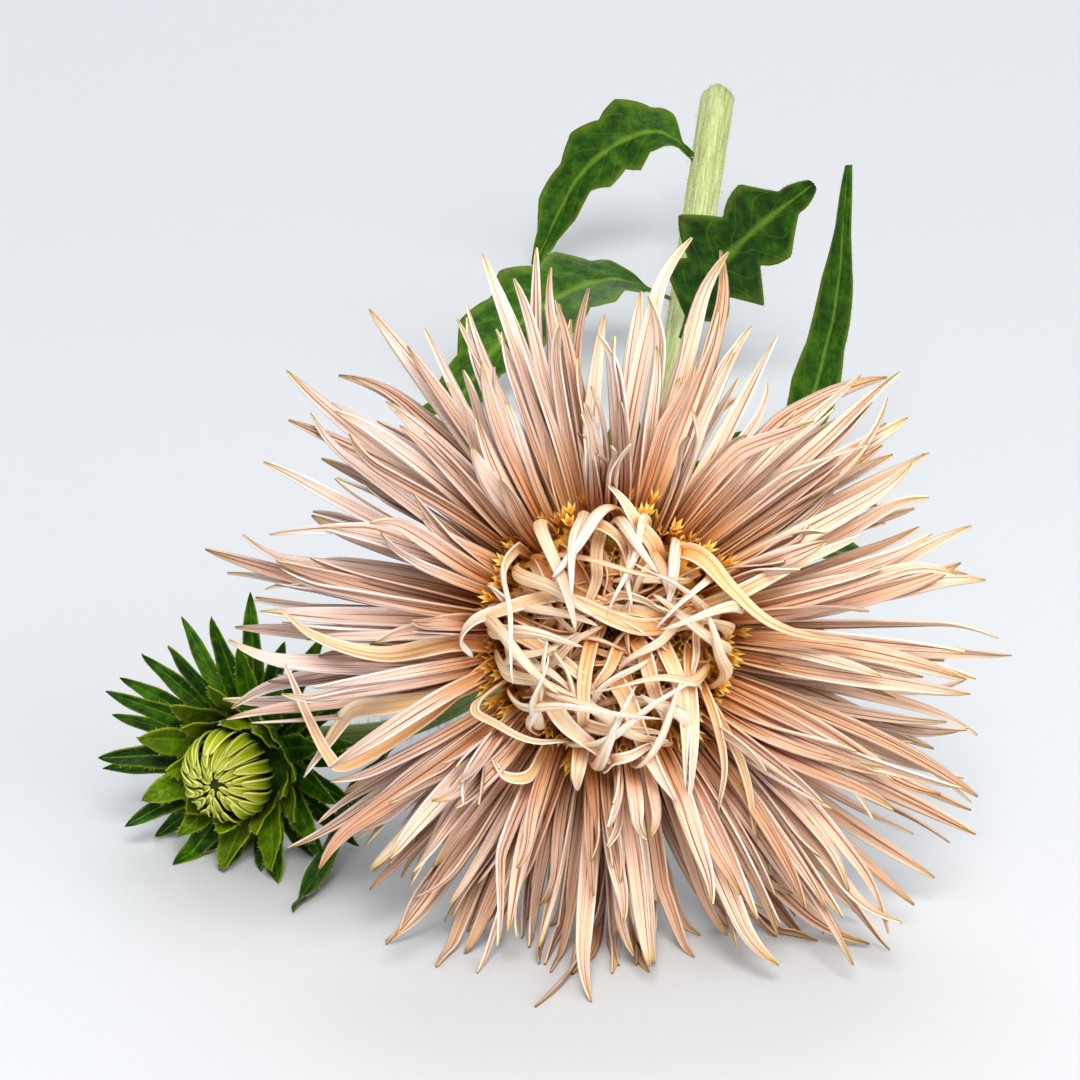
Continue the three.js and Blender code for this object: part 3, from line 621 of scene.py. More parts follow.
def through(points, places):
    """Centripetal Catmull-Rom curves through points (path, point, xyz), at places from 0 to 1 along them."""
    ends = [2 * points[:, :1] - points[:, 1:2], points, 2 * points[:, -1:] - points[:, -2:-1]]
    knots = np.concatenate(ends, axis=1)
    gap = np.linalg.norm(np.diff(knots, axis=1), axis=-1, keepdims=True) ** 0.5
    spans = points.shape[1] - 1
    span = np.minimum((np.asarray(places) * spans).astype(int), spans - 1)
    t = (np.asarray(places) * spans - span)[None, :, None]
    a, b, c, d = (knots[:, span + k] for k in range(4))
    before, here, beyond = (gap[:, span + k] for k in range(3))
    leaving = ((b - a) / before - (c - a) / (before + here) + (c - b) / here) * here
    arriving = ((c - b) / here - (d - b) / (here + beyond) + (d - c) / beyond) * here
    return (b + leaving * t + (3 * (c - b) - 2 * leaving - arriving) * t ** 2
            + (2 * (b - c) + leaving + arriving) * t ** 3)


def eased(share):
    """A smooth step: 3 share ** 2 - 2 share ** 3, with share kept from 0 to 1."""
    share = np.clip(share, 0, 1)
    return share ** 2 * (3 - 2 * share)


def over_disc(paths):
    """The side direction that lets a ribbon lie face up over the disc, square to the way from root to tip."""
    return unit(np.cross(bloom.axis, paths[:, -1] - paths[:, 3]))


def curl_paths(seed, root, draws, width):
    """Ribbons whose heading turns from their lean inwards: the lean plus the turn times (share past a fifth)
    to the power 1.2. Over the disc they stay above it, and they sweep sideways by the share squared. Gives
    their paths, side directions, widths and rolls."""
    drawn = dice(seed, CURL_COUNT, draws)
    angle = 2 * np.pi * (np.arange(CURL_COUNT) + drawn["shift"]) / CURL_COUNT
    length = drawn["length"][:, None]
    turned_in = np.radians(drawn["turn"])[:, None] * np.maximum(0, CURL_STATIONS - CURL_TURNS_FROM) ** 1.2
    heading = (np.radians(drawn["lean"])[:, None] + turned_in)[:, 1:]
    step = np.diff(CURL_STATIONS) * length
    start = np.zeros((CURL_COUNT, 1))
    out = root[0] + np.concatenate([start, np.cumsum(step * np.cos(heading), 1)], 1)
    forward = root[1] + np.concatenate([start, np.cumsum(step * np.sin(heading), 1)], 1)
    inside = eased((DISC_EDGE - out) / DISC_EDGE_WIDTH)
    forward = np.maximum(forward, inside * CURL_LOWEST + (1 - inside) * root[1] - 0.5)
    sideways = drawn["sweep"][:, None] * length * CURL_STATIONS ** 2
    around = bloom.around(angle)
    bent = bloom.at(angle[:, None], out, forward) + sideways[..., None] * around[:, None]
    return through(bent, np.linspace(0, 1, CURL_STEPS)), around, width * drawn["scale"], drawn["roll"]


def tangle_paths():
    """Ribbons that rise from the disc's rim, pass near its middle and end on its far side."""
    drawn = dice(CURL_SEEDS["tangle"], TANGLE_COUNT, TANGLE_DRAWS)
    foot, near, high = drawn["foot"], drawn["near"], drawn["high"]
    begin = 2 * np.pi * (np.arange(TANGLE_COUNT) + drawn["start"]) / TANGLE_COUNT
    way = np.sign(drawn["third"])
    turns = [0 * foot, 0.2 * drawn["second"], 0.6 * drawn["second"], drawn["third"], way * drawn["last"]]
    outs = [foot, foot + 0.8, (foot + near) / 2, near, drawn["end"]]
    heights = [0 * foot + 2.5, 0.75 * high, high, high + 1.2, high]
    points = bloom.at(begin[:, None] + np.stack(turns, 1), np.stack(outs, 1), np.stack(heights, 1))
    paths = through(points, np.linspace(0, 1, CURL_STEPS))
    return paths, over_disc(paths), CURL_WIDTH * drawn["scale"], drawn["roll"]


def stray_paths():
    """The stray curls, each of which leaves the disc or its rim under its first point."""
    paths = []
    for curl in STRAY_CURLS:
        by = np.array(curl["by"], float)
        foot = [*by[0, :2] * min(1, 14.5 / np.hypot(*by[0, :2])), 2.5]
        points = bloom.centre + np.vstack([foot, by]) @ np.stack([bloom.right, bloom.top, bloom.axis])
        paths.append(through(points[None], np.linspace(0, 1, CURL_STEPS))[0])
    paths = np.stack(paths)
    widths = STRAY_CURL_SHARE * np.array([curl["width"] for curl in STRAY_CURLS])
    return paths, over_disc(paths), widths, np.zeros(len(widths))


def ribbon_rings(paths, across, widths, rolls, look_seed, wander):
    """Rings of ribbons along paths, each rolled into a shallow channel and twisted by an amount of its own.
    They wander from side to side by sin(2 pi turns share + phase), and half as far up and down."""
    look = dice(look_seed, len(paths), CURL_LOOK_DRAWS)
    each = {key: value[:, None] for key, value in look.items()}
    share = np.linspace(0, 1, CURL_STEPS)
    side, face = frames_along(paths, across)
    swing = 2 * np.pi * each["turns"] * share + each["phase"]
    away = wander * np.sin(np.pi * share) ** 0.5
    sideways, up = away * np.sin(swing), 0.5 * away * np.cos(1.3 * swing)
    paths = paths + sideways[..., None] * side + up[..., None] * face
    side, face = frames_along(paths, across, np.radians(rolls)[:, None] + each["twist"] * share ** 1.3)
    half_width = widths[:, None] / 2 * swell(share, **CURL_OUTLINE)[None, :] + CURL_TIP_HALF_WIDTH
    opening = each["curl"] + CURL_LEAST_OPENING
    rings = lifted(channel(paths, side, face, half_width, opening, CURL_WALL, RAY_POINTS_ACROSS))
    return rings, {"along": share[None, :, None],
                   **strip_facts(bloom, rings, RAY_POINTS_ACROSS, CURL_STAIN_AND_SHADE_REACH),
                   "own": look["own"][:, None, None]}


# Ribbon tissue: cream, and thin enough that light scatters a little inside it. Its golden root and the stain
# near the disc are partly painted warm shade deep in the tangle, the gap tint paints amber shade between the
# ribbons, and its pale rims are painted highlights
curl_skin = petal_skin(
    "cream_ribbon", [(0.0, "#eab45c"), (0.28, "#fadcae"), (0.65, "#fff2e2"), (1.0, "#fffaf2")],
    {"groove": "#f0cca0", "hollow": "#fff4e6", "edge": "#fffdf8", "stain_and_warm_shade": "#f2b848", "left": "#f2eef6",
     "right": "#fffaf0", "low": "#f6ece4", "deep": "#f6e6d4", "gap": "#cc8a2c"},
    **{"Subsurface Weight": 0.3, "Subsurface Scale": 1.0, "Subsurface Radius": (0.002, 0.0012, 0.0005)})
curled = curl_paths(CURL_SEEDS["curled"], CURL_ROOT, CURL_DRAWS, CURL_WIDTH)
fine = curl_paths(CURL_SEEDS["fine"], FINE_CURL_ROOT, FINE_CURL_DRAWS, FINE_CURL_SHARE * CURL_WIDTH)
for name, ribbons, seed, wander in [
        ("curled_petals", curled, "curled_look", 0.45),
        ("fine_curled_petals", fine, "fine_look", 0.6),
        ("tangled_petals", tangle_paths(), "tangle_look", 0.7),
        ("stray_curls", stray_paths(), "stray_look", 0.3)]:
    rings, facts = ribbon_rings(*ribbons, CURL_SEEDS[seed], wander)
    skins(name, rings, facts, curl_skin, "petal", "bloom_ray_petals")


# Ray core: the rounded head that the rays grow out of, a firm cushion of pale green flesh. It is stained
# golden between the roots and in front.
RAY_CORE = [(0, -6.2), (10.6, -6.2), (14.2, -4.4), (16.2, -1.6), (16.6, 0.8), (15.4, 2.9), (0, 2.9)]
RAY_CORE_STEPS = 30
SEGMENTS = 96


def turned(head, profile, steps=None, ripple=0.0, ripples=0):
    """Rings round a head's axis from a profile of radius and height that starts and ends on the axis, with
    steps points along it if given, and a ripple round the axis as a share of the radius."""
    profile = np.array(profile, float)
    if steps:
        flat = np.concatenate([profile[1:-1], np.zeros((len(profile) - 2, 1))], 1)
        profile = through(flat[None], np.linspace(0, 1, steps))[0, :, :2]
    else:
        profile = profile[1:-1]
    angle = np.linspace(0, 2 * np.pi, SEGMENTS, endpoint=False)
    radius = profile[:, :1] * (1 + ripple * np.cos(ripples * angle))
    return head.at(angle, radius, profile[:, 1:])[None]


def mottled(name, stops, scale, height_mm, behind="#ffffff", **shader):
    """Plant tissue with a soft mottle between the colours of its stops: scale is in patches a metre. Where
    the back attribute is 1 it has another colour behind."""
    made, tree = material(name)
    place = add(tree, "ShaderNodeTexCoord").outputs["Object"]
    patches = add(tree, "ShaderNodeTexNoise", {"Vector": place, "Scale": scale, "Detail": 4.0})
    colour = add(tree, "ShaderNodeValToRGB", {"Fac": patches}, stops)
    back = add(tree, "ShaderNodeAttribute", attribute_name="back").outputs["Fac"]
    turned_back = add(tree, "ShaderNodeMix", {"Factor": back, "A": colour, "B": linear(behind)},
                      data_type="RGBA")
    paint(tree, turned_back, patches, height_mm, **{
        "Roughness": 0.65, "Specular IOR Level": 0.25, **shader})
    return made


# The head's flesh: dull, golden with pollen and floret stubs in front, and green behind
core_skin = mottled(
    "golden_receptacle", [(0.35, "#8a5414"), (0.5, "#c08426"), (0.65, "#dca840")], scale=600.0, height_mm=0.4,
    behind="#8ea056")
core_rings = turned(bloom, RAY_CORE, RAY_CORE_STEPS)
behind_rays = np.clip(np.linspace(1.7, -0.6, core_rings.shape[1]), 0, 1)[:, None]
skins("ray_core", core_rings, {"back": behind_rays}, core_skin, "petal", "bloom_ray_petals")


# Disc florets: small golden tubes packed on a spiral over the disc, each flared into five teeth round a
# throat that is painted dark as shade. They stand longest at the disc's rim, where more of them show between
# the roots of the rays.
DISC_CORE = [(0, 3.2), (12.6, 3.2), (12, 4.6), (7.5, 5.5), (0, 5.8)]
FLORET_COUNT = 190
FLORET_REACH = 12.0
RIM_FLORET_COUNT = 130
GOLDEN_ANGLE = math.radians(137.508)
FLORET_PROFILE = [(0.55, 0.0), (0.5, 0.55), (1.0, 0.86), (1.45, 1.0), (0.9, 0.9), (0.45, 0.6)]
FLORET_SIDES = 10
FLORET_RADIUS = 0.55
RIM_FLORET_RADIUS = 0.6
FLORET_DRAWS = {"tall": (-0.5, 0.5), "lean": (-0.8, 0.8), "own": (0, 1), "shift": (-0.05, 0.05)}
RIM_FLORET_DRAWS = {"shift": (-0.5, 0.5), "foot": (0, 1), "tall": (3.6, 6.6), "rise": (30, 75), "own": (0, 1)}
FLORET_SEEDS = {"disc": 411, "rim": 612}


def florets(feet, tips, radius):
    """Rings of small tubes from feet to tips: the profile gives each ring's radius, times radius, and its
    share of the way. The flared rings are drawn out into five teeth by the cosine of five times the angle."""
    profile = np.array(FLORET_PROFILE)
    ahead = unit(tips - feet)
    side = unit(np.cross(ahead, bloom.top))
    face = np.cross(ahead, side)
    turn = np.linspace(0, 2 * np.pi, FLORET_SIDES, endpoint=False)
    teeth = 0.22 * np.cos(5 * turn) * (profile[:, :1] > 0.95)
    out = profile[:, :1] * (1 + teeth) * radius
    share = profile[:, 1:] + 0.5 * teeth * (profile[:, 1:] > 0.8)
    height = share * np.linalg.norm(tips - feet, axis=1)[:, None, None]
    return (feet[:, None, None] + height[..., None] * ahead[:, None, None]
            + (out * np.cos(turn))[..., None] * side[:, None, None]
            + (out * np.sin(turn))[..., None] * face[:, None, None])


number = np.arange(FLORET_COUNT)
drawn = dice(FLORET_SEEDS["disc"], FLORET_COUNT, FLORET_DRAWS)
angle = number * GOLDEN_ANGLE + drawn["shift"]
out = FLORET_REACH * np.sqrt((number + 0.5) / FLORET_COUNT)
tall = 2.4 + 1.8 * (out / FLORET_REACH) ** 2 + drawn["tall"]
feet = bloom.at(angle, out, 4.0)
tips = bloom.at(angle, out + 0.35 * (0.08 * out + drawn["lean"]), 5.4 + tall)
disc = florets(feet, tips, FLORET_RADIUS)
disc_own = drawn["own"]

drawn = dice(FLORET_SEEDS["rim"], RIM_FLORET_COUNT, RIM_FLORET_DRAWS)
angle = 2 * np.pi * (np.arange(RIM_FLORET_COUNT) + drawn["shift"]) / RIM_FLORET_COUNT
rise = np.radians(drawn["rise"])
out, forward = 15.6 + 0.4 * drawn["foot"], 2.4 - 2.8 * drawn["foot"]
feet = bloom.at(angle, out - 0.8, forward)
tips = bloom.at(angle, out + drawn["tall"] * np.cos(rise), forward + drawn["tall"] * np.sin(rise))
rim = florets(feet, tips, RIM_FLORET_RADIUS)

# Floret tissue: dull gold, with painted shade darkening it in the throat and at the foot between the florets,
# and some florets browner as they fade
floret_skin, tree = material("golden_floret")
along, own = (add(tree, "ShaderNodeAttribute", attribute_name=fact).outputs["Fac"]
              for fact in ("along", "own"))
gold_with_painted_shade = add(tree, "ShaderNodeValToRGB", {"Fac": along}, [
    (0, "#a8681a"), (0.35, "#d8962c"), (0.6, "#f0b846"), (0.72, "#fcdc80"), (0.86, "#d89a30"),
    (1, "#7a4410")])
kind = add(tree, "ShaderNodeValToRGB", {"Fac": own}, [(0.0, "#c08a50"), (0.5, "#ffffff"), (1.0, "#fff0c8")])
gold = add(tree, "ShaderNodeMix", {"Factor": 1.0, "A": gold_with_painted_shade, "B": kind}, **MULTIPLIED)
paint(tree, gold, **{"Roughness": 0.6, "Specular IOR Level": 0.3})
rings = np.concatenate([disc, rim])
facts = {"along": np.linspace(0, 1, len(FLORET_PROFILE))[:, None],
         "own": np.concatenate([disc_own, drawn["own"]])[:, None, None]}
skins("disc_florets", rings, facts, floret_skin, "disc_floret", "bloom_disc_florets")
skins("disc_core", turned(bloom, DISC_CORE), {}, core_skin, "disc_floret", "bloom_disc_florets")


# Bloom bracts: two rows of long leafy bracts that back the bloom, with a ribbed green cup below them and two
# rows of short pressed scales under the petals. They are firm, dark, blunt at the tip and fringed with short
# hairs, and those at the bottom lie on the surface.
PLAIN_BRACT = {"longer": 0, "slim": 1, "young": 0}
BLOOM_BRACT_ROWS = [
    {"count": 8, "rise": -26, "length": 33, "root": (6, -8.6)},
    {"count": 7, "rise": -40, "length": 27, "root": (5, -10.4)},
]
SCALE_ROWS = [
    {"count": 26, "rise": 1, "length": 9.5, "root": (7.6, -7.3), "young": 0.2},
    {"count": 22, "rise": -3, "length": 7.5, "root": (7.2, -8.1), "young": 0.1},
]
BRACT_OUTLINE = {"start": 0.42, "widest": 0.7, "fullness": 0.6}
SCALE_OUTLINE = {"start": 0.75, "widest": 0.4, "fullness": 0.6}
BRACT_CUP = [(0, -14.4), (4.8, -14.4), (7.6, -11), (10.4, -8), (10.4, -6.7), (0, -6.7)]
BRACT_DRAWS = {"shift": (-0.2, 0.2), "rise": (-5, 5), "length": (0.88, 1.1), "bend": (0.02, 0.16),
               "roll": (-16, 16)}
BRACT_LOOK_DRAWS = {"own": (0, 1), "phase": (0, 6.28), "scale": (0.85, 1.15)}
BRACT_REACH = {"middle": 150, "spread": 55}
BRACT_STEPS = 24
BRACT_POINTS_ACROSS = 9
BRACT_WALL = 0.42
CUP_RIPPLE = {"ripple": 0.03, "ripples": 15}
CUP_STEPS = 20
CUP_FACTS = {"across": 0.5, "along": 0.3, "own": 0.5}
HAIR_DRAWS = {"place": (0.12, 0.97), "forward": (0.1, 0.9), "up": (-0.4, 0.4), "long": (0.6, 1.25)}
FRINGE_RADIUS = 0.04
VEIN_TURN = 28
VEIN_SLANT = 0.2
LEAF_BUMP = 0.35


def plate_rings(paths, side, face, half_width, fold, wall, points_across, lift=None):
    """Rings of a flat blade folded along its rib: a point at share a across it stands sideways by half_width
    a and towards the face by half_width fold |a| ** 1.3, less a narrow groove over the rib, plus lift."""
    share, inner = loop_across(points_across)
    thick = wall * (1 - 0.75 * np.abs(share) ** 3)
    sideways = half_width[..., None] * share
    rib = 0.5 * wall * np.exp(-(share / 0.13) ** 2)
    towards = half_width[..., None] * fold * np.abs(share) ** 1.3 + (inner - 0.5) * thick - rib
    if lift is not None:
        towards = towards + lift
    return paths[:, :, None] + sideways[..., None] * side[:, :, None] + towards[..., None] * face[:, :, None]


def bract_rings(head, rows, seed, look_seed, width, fold, outline, push):
    """Rings of bracts in rows round a head, each bent towards its face by its length times the share squared,
    with edges that ruffle and buckle a little."""
    which, order, row = in_rows([{**PLAIN_BRACT, **each} for each in rows])
    drawn = dice(seed, which.size, BRACT_DRAWS)
    look = dice(look_seed, which.size, BRACT_LOOK_DRAWS)
    angle = 2 * np.pi * (order + 0.5 * (which % 2) + drawn["shift"]) / row["count"]
    rise = np.radians(row["rise"] + drawn["rise"])[:, None]
    longer = 1 + row["longer"] * nearness(angle, **BRACT_REACH)
    length = (row["length"] * drawn["length"] * longer)[:, None]
    share = np.linspace(0, 1, BRACT_STEPS)[None, :]
    out, forward = leaning(row["root"], rise, share * length, drawn["bend"][:, None] * length * share ** 2)
    paths = settle(head.at(angle[:, None], out, forward), BLADE_REST, push)
    side, face = frames_along(paths, head.around(angle), np.radians(drawn["roll"])[:, None])
    phase = look["phase"][:, None]
    ruffle = 1 + 0.06 * np.sin(17 * share + phase)
    scale = (row["slim"] * look["scale"])[:, None]
    half_width = width / 2 * scale * swell(share, **outline) * ruffle + 0.05
    across = loop_across(BRACT_POINTS_ACROSS)[0]
    buckle = (0.3 * np.sin(11 * share + phase) * share)[..., None] * np.abs(across)
    rings = lifted(plate_rings(paths, side, face, half_width, fold, BRACT_WALL, BRACT_POINTS_ACROSS, buckle))
    return rings, {"along": share[..., None], "across": across, "own": look["own"][:, None, None],
                   "young": row["young"][:, None, None]}


def fringe(rings, points_across, reach, seed, each):
    """Short hairs from the edges of blades: thin three-sided spikes that stand out and some way forward."""
    edges = np.concatenate([rings[:, :, 0], rings[:, :, points_across - 1]])
    middles = np.concatenate([rings.mean(2)] * 2)
    rows = edges.shape[0] * each
    drawn = dice(seed, rows, HAIR_DRAWS)
    which = np.repeat(np.arange(edges.shape[0]), each)
    spot = drawn["place"] * (edges.shape[1] - 1.001)
    step, part = spot.astype(int), (spot % 1)[:, None]
    feet = edges[which, step] * (1 - part) + edges[which, step + 1] * part
    ahead = unit(edges[which, step + 1] - edges[which, step])
    away = unit(feet - middles[which, step] * (1 - part) - middles[which, step + 1] * part + 1e-6)
    way = unit(away + drawn["forward"][:, None] * ahead + drawn["up"][:, None] * np.cross(ahead, away))
    return spikes(feet - 0.05 * way, way * (reach * drawn["long"])[:, None], FRINGE_RADIUS)


def spikes(feet, ways, radius):
    """Rings of three-sided spikes from feet along ways, which thin out to a point."""
    side = unit(np.cross(ways, np.array([0.31, 0.22, 0.93])))
    face = unit(np.cross(ways, side))
    turn = 2 * np.pi * np.arange(3) / 3
    ring = radius * (np.cos(turn)[:, None] * side[:, None] + np.sin(turn)[:, None] * face[:, None])
    return np.stack([feet[:, None] + ring, (feet + 0.6 * ways)[:, None] + 0.6 * ring,
                     (feet + ways)[:, None] + 0.1 * ring], 1)


def leaf_skin(name, deep, middle, light, edge, rib):
    """Green leaf tissue: mottled between a deep and a light green, paler along the rib and veins,
    yellow-green at the edge and all over where it is young, with a waxy skin puckered between the veins."""
    made, tree = material(name)
    place = add(tree, "ShaderNodeTexCoord").outputs["Object"]
    across, own, along, young = (add(tree, "ShaderNodeAttribute", attribute_name=fact).outputs["Fac"]
                                 for fact in ("across", "own", "along", "young"))
    mottle = add(tree, "ShaderNodeTexNoise",
                 {"Vector": place, "Scale": 330.0, "Detail": 5.0, "Roughness": 0.65})
    shade = add(tree, "ShaderNodeMath", {0: own, 1: 0.16, 2: mottle}, operation="MULTIPLY_ADD")
    green = add(tree, "ShaderNodeValToRGB", {"Fac": shade}, [(0.38, deep), (0.56, middle), (0.78, light)])
    edges = add(tree, "ShaderNodeMath", {0: across}, operation="ABSOLUTE")
    ribness = add(tree, "ShaderNodeMapRange",
                  {"Value": edges, "From Min": 0.12, "From Max": 0.02, "To Max": 0.8})
    ribbed = add(tree, "ShaderNodeMix", {"Factor": ribness, "A": green, "B": linear(rib)}, **BLENDED)
    slant = add(tree, "ShaderNodeMath", {0: edges, 1: -VEIN_SLANT, 2: along}, operation="MULTIPLY_ADD")
    waves = add(tree, "ShaderNodeMath", {0: slant, 1: 2.0 * VEIN_TURN}, operation="MULTIPLY")
    waves = add(tree, "ShaderNodeMath", {0: waves}, operation="COSINE")
    veins = add(tree, "ShaderNodeMapRange", {"Value": waves, "From Min": 0.9, "From Max": 1.0, "To Max": 0.2})
    veined = add(tree, "ShaderNodeMix", {"Factor": veins, "A": ribbed, "B": linear(rib)}, **BLENDED)
    edging = add(tree, "ShaderNodeMapRange",
                 {"Value": edges, "From Min": 0.75, "From Max": 1.0, "To Max": 0.45})
    paling = add(tree, "ShaderNodeMath", {0: young, 1: 0.55, 2: edging}, operation="MULTIPLY_ADD")
    edged = add(tree, "ShaderNodeMix", {"Factor": paling, "A": veined, "B": linear(edge)}, **BLENDED)
    pucker = add(tree, "ShaderNodeTexNoise", {"Vector": place, "Scale": 900.0, "Detail": 3.0})
    height = add(tree, "ShaderNodeMath", {0: veins, 1: -1.5, 2: pucker}, operation="MULTIPLY_ADD")
    paint(tree, edged, height, LEAF_BUMP, **{"Roughness": 0.5, "Specular IOR Level": 0.14})
    return made


# Bract tissue: deep green and faintly waxy, with edges a little yellower, and clear hairs that look pale
bract_skin = leaf_skin("dark_bract", "#122b04", "#264a06", "#487010", edge="#8f9c34", rib="#789032")
hair_skin = mottled("pale_hair", [(0.4, "#c4cc9c"), (0.6, "#e0e4c4")], scale=300.0, height_mm=0.01,
                    Roughness=0.8)
rings, facts = bract_rings(bloom, BLOOM_BRACT_ROWS, 58, 208, width=6.4, fold=0.22, outline=BRACT_OUTLINE,
                           push=BACKWARD)
skins("long_bracts", rings, facts, bract_skin, "leaf", "bloom_bracts")
hairs = fringe(rings, BRACT_POINTS_ACROSS, reach=0.9, seed=71, each=34)
skins("long_bract_hairs", hairs, {}, hair_skin, "leaf", "bloom_bracts")
rings, facts = bract_rings(bloom, SCALE_ROWS, 64, 214, width=3.6, fold=0.3, outline=SCALE_OUTLINE,
                           push=BACKWARD)
skins("bloom_scales", rings, facts, bract_skin, "leaf", "bloom_bracts")
cup = turned(bloom, BRACT_CUP, CUP_STEPS, **CUP_RIPPLE)
skins("bloom_bract_cup", cup, CUP_FACTS, bract_skin, "leaf", "bloom_bracts")


# Stem and branch: one pale green ridged stalk with white bristles, swollen where it carries the bloom, cut
# across at its far end, and forked once for the bud. It sags to the surface, where it lies on a flat of its
# underside.
STEM_BEND = [(0, 29, 33), (2, 66, 21), (8, 122, 8), (13, 170, 2), (18, 220, 2.5), (24.5, 279, 13),
             (32, 337, 30)]
STEM_LOWEST = 2.5
STEM_NECK_RADIUS = 2.3
STEM_CUT_RADIUS = 3.1
STEM_STEPS = 150
STEM_SIDES = 48
STEM_RIDGE = 0.07
RECEPTACLE = [(0, -20), (2.2, -20), (3, -15), (5.6, -11.4), (8.5, -8.4), (8.5, -6.5), (0, -6.5)]
BRANCH_BEND = [(2, 73, 19), (-12, 57, 16), (-31, 39, 13.5), (-44, 31.5, 15)]
BRANCH_RADIUS = 1.7
BRANCH_STEPS = 40
RIB_HEIGHT = 0.02
STEM_RIDGES = 4
BRANCH_RIDGES = 3
CUT_BEVEL = 0.93
RECEPTACLE_STEPS = 24
STEM_HAIRS = 5200
BRANCH_HAIRS = 900
BRISTLE_LENGTH = 1.1
BRISTLE_RADIUS = 0.05
BRISTLE_SEEDS = {"stem": 5, "branch": 6}


def spaced(points, steps):
    """Points at even distances along the curve through the given points."""
    dense = through(np.array(points, float)[None], np.linspace(0, 1, 600))[0]
    travelled = np.concatenate([[0], np.cumsum(np.linalg.norm(np.diff(dense, axis=0), axis=1))])
    at = np.linspace(0, travelled[-1], steps)
    return np.stack([np.interp(at, travelled, dense[:, axis]) for axis in range(3)], 1)


def stalk_rings(path, across, radius, ridges):
    """Rings of a ridged rod: the radius times 1 + ridge cos(ridges turn), with finer ribs between the
    ridges."""
    side, face = frames_along(path[None], np.array([across], float))
    turn = np.linspace(0, 2 * np.pi, STEM_SIDES, endpoint=False)
    shape = 1 + STEM_RIDGE * np.cos(ridges * turn) + RIB_HEIGHT * np.cos(3 * ridges * turn)
    reach = radius[:, None] * shape
    return (path[:, None] + (reach * np.cos(turn))[..., None] * side[0][:, None]
            + (reach * np.sin(turn))[..., None] * face[0][:, None])[None]


def round_facts(steps, side_light_and_shade, length):
    """Where each point of a stalk is round it, as right and front from -1 to 1, and its distance along in
    mm."""
    turn = np.linspace(0, 2 * np.pi, side_light_and_shade, endpoint=False)
    return {"right": np.cos(turn), "front": np.sin(turn), "distance": np.linspace(0, length, steps)[:, None]}


def bristles(rings, count, seed):
    """White hairs all over a stalk: spikes from points of its rings, outwards and slanting a little."""
    steps, side_light_and_shade = rings.shape[1:3]
    drawn = dice(seed, count, {"step": (0, steps - 1.01), "turn": (0, side_light_and_shade - 0.01), "slant": (-0.5, 0.5),
                               "long": (0.5, 1.3)})
    step, turn = drawn["step"].astype(int), drawn["turn"].astype(int)
    feet = rings[0, step, turn]
    away = unit(feet - rings[0, step].mean(1))
    way = unit(away + drawn["slant"][:, None] * unit(rings[0, step + 1, turn] - feet))
    spiky = spikes(feet - 0.1 * way, way * (BRISTLE_LENGTH * drawn["long"])[:, None], BRISTLE_RADIUS)
    return spiky[spiky[..., 2].min((1, 2)) > LOWEST]


# Stem tissue: pale green fibres along it, dull and yellower in the cut, and painted darker green along the
# branch towards the bud as shade
stem_skin, tree = material("bristly_stem")
right, front, distance, cut, branch_shade = (add(tree, "ShaderNodeAttribute", attribute_name=fact).outputs["Fac"]
                                      for fact in ("right", "front", "distance", "cut", "branch_shade"))
round_stem = add(tree, "ShaderNodeCombineXYZ", {"X": right, "Y": front, "Z": distance})
stretched = add(tree, "ShaderNodeVectorMath", {0: round_stem, 1: (9.0, 9.0, 0.12)}, operation="MULTIPLY")
fibres = add(tree, "ShaderNodeTexNoise", {"Vector": stretched, "Scale": 1.0, "Detail": 5.0})
green = add(tree, "ShaderNodeValToRGB", {"Fac": fibres},
            [(0.32, "#8fa35a"), (0.5, "#b4c07e"), (0.68, "#d0d6a4")])
green_with_branch_shade = add(tree, "ShaderNodeMix", {"Factor": branch_shade, "A": green, "B": linear("#8aa454")}, **MULTIPLIED)
pith = add(tree, "ShaderNodeMix", {"Factor": cut, "A": green_with_branch_shade, "B": linear("#e4e2b8")}, **BLENDED)
paint(tree, pith, fibres, 0.15, **{"Roughness": 0.6, "Specular IOR Level": 0.3})

stem_path = spaced([bloom.at(0.0, 0.0, -15.0), *STEM_BEND], STEM_STEPS)
stem_path[:, 2] = np.maximum(stem_path[:, 2], STEM_LOWEST)
stem_radius = np.linspace(STEM_NECK_RADIUS, STEM_CUT_RADIUS, STEM_STEPS)
stem_rings = stalk_rings(stem_path, (1, 0, 0), stem_radius, STEM_RIDGES)
cut_end = stem_rings[:, -1:]
cut_middle = cut_end.mean(2, keepdims=True)
stem_rings = np.concatenate([stem_rings, cut_middle + CUT_BEVEL * (cut_end - cut_middle)], 1)
is_cut = (np.arange(STEM_STEPS + 1) == STEM_STEPS)[:, None]
stem_facts = {"cut": is_cut, **round_facts(STEM_STEPS + 1, STEM_SIDES, length=340)}
skins("stalk", stem_rings, stem_facts, stem_skin, "stem", "stem")
branch_path = np.concatenate([
    spaced(BRANCH_BEND, BRANCH_STEPS), spaced([BRANCH_BEND[-1], bud.at(0.0, 0.0, -9.0)], 8)[1:]])
branch_steps = len(branch_path)
branch_rings = stalk_rings(branch_path, (0, 0, 1), np.full(branch_steps, BRANCH_RADIUS), BRANCH_RIDGES)
